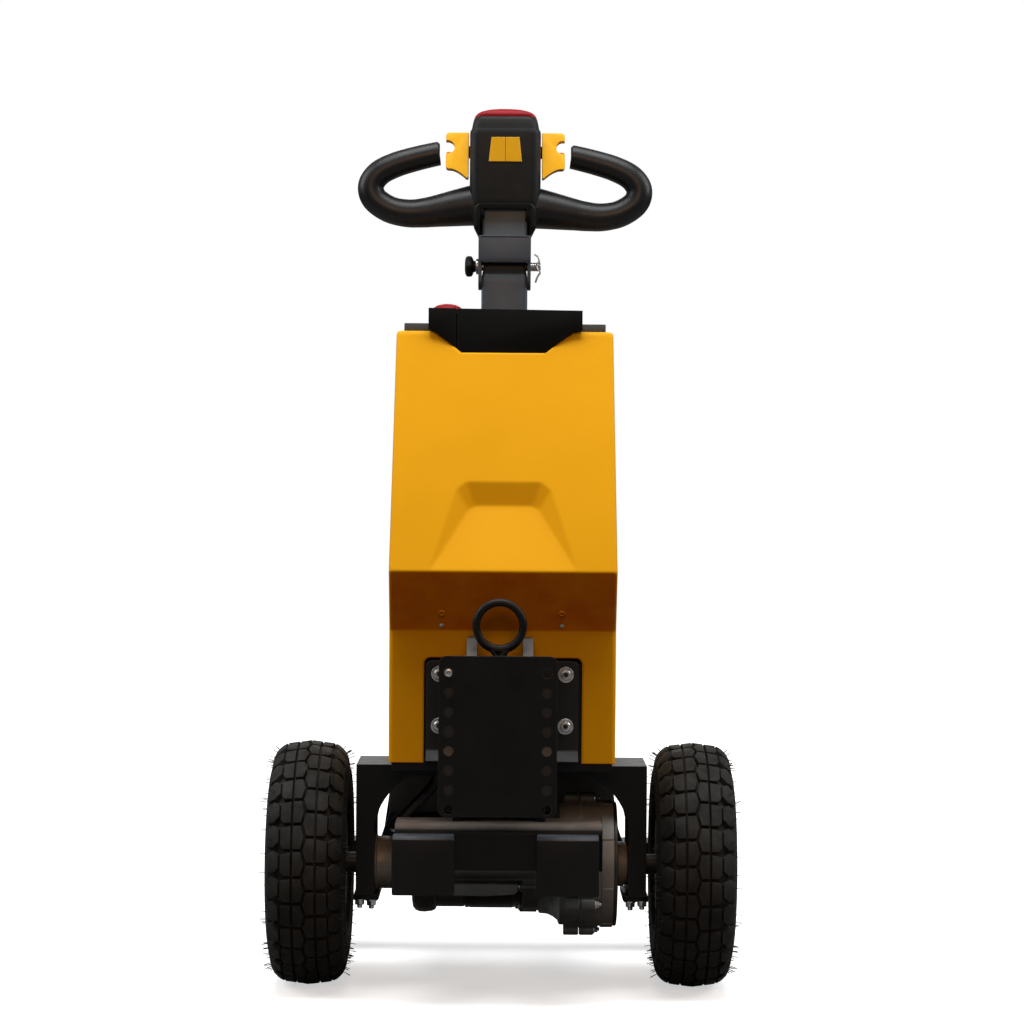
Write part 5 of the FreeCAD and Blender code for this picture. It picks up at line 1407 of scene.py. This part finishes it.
# %% Pin and ring
PIN_X, PIN_Y, RING_X, RING_Z, RING_R = -5.5, -212.0, -4.0, 499.0, 30.2
turn = full_turn(64)
circle = np.stack([RING_X + RING_R * np.cos(turn), PIN_Y + 0 * turn,
                   RING_Z + RING_R * np.sin(turn)], axis=1)
ring = swept(circle, 5.1 + 1.6 * np.clip(-np.sin(turn) - 0.55, 0, 1), 16, closed=True)
bar = turned([(338, 6), (341, 8), (459, 8), (461, 6.6), (464, 6.8), (468, 8.4)], "z",
             (PIN_X, PIN_Y, 0), 28)
neck = stack([(459.5, 8.6, PIN_Y - 7, PIN_Y + 7, 5), (462, 9.6, PIN_Y - 6.4, PIN_Y + 6.4, 5),
              (465, 12.0, PIN_Y - 5.8, PIN_Y + 5.8, 4), (468, 14.6, PIN_Y - 5.4, PIN_Y + 5.4, 4),
              (470.6, 14.2, PIN_Y - 4.6, PIN_Y + 4.6, 3), (472.4, 8.0, PIN_Y - 3, PIN_Y + 3, 2)],
             5)
neck = shifted(neck, RING_X)
make_piece("ringed_tow_pin", joined([ring, bar, neck]), "charcoal_paint", "towing_pin",
           nodes=["tow_pin"])
print("ring %.0f mm across" % (2 * RING_R))

# %% [markdown]
# ## Bolts and nuts
# Fasteners are the small bright points on a dark machine. Each is a washer with a domed or
# six-sided head; those of one finish and one body are joined into a single piece.

# %% Bolts on the front
COLUMN_X, ROW_Z = (PIN_X - 63.0, PIN_X + 63.0), 265.0 + 25.0 * np.arange(8)
bolt_places = [(x, -145.6, z) for x in (-83, 83) for z in (364, 432)]
front_bolts = [aimed(screw(6.6, 3.2, 18, washer=10.4), place, (0, -1, 0))
               for place in bolt_places]
front_bolts.append(aimed(screw(5.4, 8.0, 12), (COLUMN_X[0] - 0.5, -239.8, ROW_Z[-1] + 0.5),
                         (0, -1, 0)))
under_leg = [aimed(hex_head(7.2, 6.4, washer=8.8, stem=4.5), (side * x, y, 120.0), (0, 0, -1))
             for side in (-1, 1) for x, y in ((190, -44), (174, -50), (190, 0), (190, 44))]
make_piece("frame_bolts", joined(front_bolts + under_leg), "zinc_steel", "chassis",
           crease=30)
# Dark discs in the screw sockets are painted shade in the recesses.
socket_painted_shade = [aimed(turned([(0.4, 3.2), (1.8, 3.2), (1.9, 2.4)], "z", ORIGIN, 6), place,
                     (0, -1, 0)) for place in bolt_places]
make_piece("socket_painted_shade", joined(socket_painted_shade), "motor_paint", "chassis", crease=30)
# Discs in the coupling plate's holes paint the view through them: painted shade of the parts behind,
# and in one row a painted highlight of the lit lip behind.
for name, finish, heights in (("painted_hole_shade", "motor_paint", ROW_Z[[1, 2, 4, 5, 6]]),
                              ("painted_hole_highlight", "motor_grey", ROW_Z[[3]])):
    painted_holes = [aimed(turned([(0, 6.7), (2.4, 6.7), (2.8, 6.2)], "z", ORIGIN, 20),
                   (x, -234.4, z), (0, -1, 0)) for x in COLUMN_X for z in heights]
    make_piece(name, joined(painted_holes), finish, "chassis", crease=30)
feet = [slab(rounded_rectangle(34, 108, 4, 3) + [side * 181, 0], 121.4, 128.4, "xy", 0.8, 1)
        for side in (-1, 1)]
make_piece("leg_feet", joined(feet), "charcoal_paint", "chassis", crease=30)
nose_normal = unit([0, KNEE[1] - NOSE[1], NOSE[0] - KNEE[0]])
for word, size, y, z, finish in (("upper", 4.6, -157.4, 513, "yellow_paint"),
                                 ("lower", 3.0, -146.2, 497, "zinc_steel")):
    pair = [aimed(screw(size, 2.4, 12), (x, y, z), nose_normal) for x in (-80, 77)]
    make_piece("nose_screws_" + word, joined(pair), finish, "chassis", crease=30)
print(len(bolt_places), "frame bolts and", 2 * len(ROW_Z[1:-1]), "plugs in front")

# %% [markdown]
# ## Motor cable
# The cable runs from the beam to the brake in a corrugated sleeve, which is a tube whose radius
# rises and falls along its line, and it ends in a zinc gland.

# %% Cable
route = smooth_line([(-87, 0, 289.5), (-92, 0, 272), (-107, -3, 255), (-128, -4, 234),
                     (-144, 6, 218), (-147, 24, 211), (-139, 39, 214), (-125, 47, 217),
                     (-111, 55, 210), (-111, 66, 199)], 24)
wave = 7.2 + 0.16 * np.where(np.arange(len(route)) % 4 < 2, 1.0, -1.0)
make_piece("corrugated_sleeve", swept(route, wave, 18, up=(0, 1, 0.2)), "conduit", "chassis",
           crease=40, nodes=["motor_cable"])
gland = aimed(joined([turned([(0, 8), (6, 8), (7, 7)], "z", ORIGIN, 20),
                      turned([(7, 9.4), (13, 9.4), (14, 8.4)], "z", ORIGIN, 6)]),
              (-111, 68, 194), (0, -0.6, 0.8))
ferrule = aimed(turned([(-5, 7.4), (-4, 8), (4, 8), (5, 7.4)], "z", ORIGIN, 20),
                (-145.6, 14, 213.6), (-0.2, 0.92, -0.34))
make_piece("cable_gland", joined([gland, ferrule]), "zinc_steel", "chassis", crease=30)
print("cable done")

# %% [markdown]
# ## Casters
# Behind the drive wheels two swivel casters carry the tail. Their wheels have a rubber tread on
# a moulded hub with ribs, and they turn on a bolt through the fork. Tread and hub are turned,
# the ribs are small plates, so that each wheel shows that it is turning.

# %% Caster wheels and their bolts
CASTER_X, CASTER_Y, CASTER_R = 262.0, 316.0, 50.0
tread = [(-10, 36), (-15.6, 38.4), (-16, 44), (-15, 47.6), (-11.6, 49.6), (0, 50), (11.6, 49.6),
         (15, 47.6), (16, 44), (15.6, 38.4), (10, 36)]
hub_rows = [(-18, 6.2), (-18, 10.6), (-17.2, 11.4), (-10, 12.4), (-6.6, 15), (-5.6, 31),
            (-9, 34), (-14.2, 35.6), (-14.2, 38.4), (14.2, 38.4), (14.2, 35.6), (9, 34),
            (5.6, 31), (6.6, 15), (10, 12.4), (17.2, 11.4), (18, 10.6), (18, 6.2)]
web = slab(rounded_rectangle(24, 23, 3, 3) + [0, 23.5], -1.6, 1.6, "xz", 0.4, 1)
for side, word in SIDES:
    centre = (side * CASTER_X, CASTER_Y, CASTER_R)
    parts = [turned(hub_rows, "x", centre, 48)]
    for angle in np.radians(np.arange(6) * 60 + 12):
        points, faces = spun(web, "x", angle)
        parts.append((points + centre, faces))
    body = word + "_caster_wheel"
    make_piece("caster_tread_" + word, turned(tread, "x", centre, 72), "caster_tread", body,
               crease=40, nodes=["caster_wheel_" + word])
    make_piece("caster_hub_" + word, joined(parts), "light_grey", body, crease=32)
    shank = turned([(-23.6, 5.8), (23.6, 5.8)], "x", centre, 20)
    nut = aimed(hex_head(8.6, 6.0, washer=10.0, stem=2.4), (centre[0] + 24.2, *centre[1:]),
                (1, 0, 0))
    head = aimed(hex_head(8.6, 5.4, washer=10.0), (centre[0] - 24.2, *centre[1:]), (-1, 0, 0))
    make_piece("caster_bolt_" + word, joined([shank, nut, head]), "zinc_steel",
               word + "_caster", crease=30, nodes=["caster_axle_" + word])
print("casters done")

# %% [markdown]
# ## Operator's side
# The side that faces the operator is closed by a screwed-on service panel with pressed louvres
# and a charging socket, and the leaning sheet above it holds a key switch and a charge gauge.
# A louvre is a bulge whose height rises as a quarter sine and fades out at both ends.

# %% Service panel with louvres
def louvre(middle, base, width, height, proud):
    """A pressed louvre: its height off the sheet is a quarter sine, faded towards both ends."""
    rise = np.linspace(0, math.pi / 2, 7)
    lift = np.concatenate([np.sin(rise), [-0.1, -0.1]])
    drop = np.concatenate([rise / rise[-1], [1, 0]])
    along = np.sin(np.linspace(-math.pi / 2, math.pi / 2, 15))
    fade = np.sqrt(np.maximum(1 - along ** 4, 0.004))[:, None]
    loops = np.empty((len(along), len(lift), 3))
    loops[..., 0] = middle[0] + along[:, None] * width / 2
    loops[..., 1] = base + proud * lift * fade
    loops[..., 2] = middle[1] - height * drop
    return loft(loops)


panel_parts = [slab(rounded_rectangle(272, 392, 12) + [0, 528], 238.4, 242.6, "xz", 1.0, 2)]
panel_parts += [louvre((x, z), 242.4, 84, 13, 5.5) for x in (-66, 66)
                for z in 560 + 24 * np.arange(6)]
make_piece("service_panel", joined(panel_parts), "charcoal_paint", "chassis", crease=32,
           nodes=["rear_panel"])
screw_seats = [((x, 244.0, z), (0, 1, 0)) for x in (-124, 0, 124) for z in (344, 712)]
screw_seats += [((x, 244.0, 528), (0, 1, 0)) for x in (-124, 124)]
screw_seats += [((side * 150.4, y, 332), (side, 0, 0)) for side in (-1, 1)
                for y in (40, 210)]
cover_screw = screw(4.6, 2.8, 14, washer=7.2)
cover_screws = joined([aimed(cover_screw, *seat) for seat in screw_seats])
make_piece("cover_screws", cover_screws, "zinc_steel", "chassis", crease=30)

print(len(panel_parts) - 1, "louvres and", len(screw_seats), "screws")

# %% Charging socket, key switch and gauge
socket = aimed(turned([(0, 28), (2.4, 28), (3.2, 27.2), (3.4, 22.4), (11, 21.6), (11.6, 22.8),
                       (16, 22.8), (17.4, 21.4), (17.8, 17), (17.8, 2)], "z", ORIGIN, 48),
               (-72, 242.4, 430), (0, 1, 0))
cap_hinge = slab(rounded_rectangle(13, 12, 2, 3) + [-72, 456], 246, 258, "xz", 1, 2)
make_piece("charging_socket", joined([socket, cap_hinge]), "black_plastic", "chassis",
           crease=34)
rear_lean = unit([0, RIDGE[1] - BACK[1], BACK[0] - RIDGE[0]])


def on_rear_lean(x, share):
    """A point of the leaning rear sheet: a share of the way from its foot to the ridge."""
    return np.array([x, BACK[0] + share * (RIDGE[0] - BACK[0]),
                     BACK[1] + share * (RIDGE[1] - BACK[1])])


def on_gauge(shape):
    """A shape made about +z, set on the rear sheet where the gauge is."""
    return aimed(shape, on_rear_lean(62, 0.5), rear_lean)


bezel = [(0, 31), (3, 31), (5.2, 29.2), (5.4, 26), (3.4, 25.2)]
make_piece("gauge_bezel", on_gauge(turned(bezel, "z", ORIGIN, 56)), "black_plastic", "chassis",
           crease=30)
dial = turned([(2.0, 25.4), (3.6, 25.4), (3.6, 0.6)], "z", ORIGIN, 56)
make_piece("gauge_dial", on_gauge(dial), "rim_paint", "chassis", crease=30)
mark = slab(rounded_rectangle(5, 1.1, 0.4, 2) + [20, 0], 3.5, 4.0, "xy")
needle = slab(np.array([(-4, -1.2), (18, -0.3), (18, 0.3), (-4, 1.2)]), 3.8, 4.5, "xy")
marks = [spun(mark, "z", angle) for angle in np.radians(np.linspace(150, 30, 9))]
marks.append(spun(needle, "z", math.radians(62)))
make_piece("gauge_marks", on_gauge(joined(marks)), "black_plastic", "chassis")
lock = joined([turned([(0, 15), (2, 15), (3, 14), (6.5, 12), (7.5, 11), (7.5, 1)], "z",
                      ORIGIN, 40),
               slab(rounded_rectangle(2.6, 17, 1.0, 3), 7, 20, "xy", 0.5, 1),
               slab(rounded_rectangle(2.4, 27, 1.1, 3), 19, 34, "xy", 0.8, 1)])
make_piece("key_switch", aimed(lock, on_rear_lean(-62, 0.5), rear_lean), "zinc_steel",
           "chassis", crease=30)
print("operator's side done")
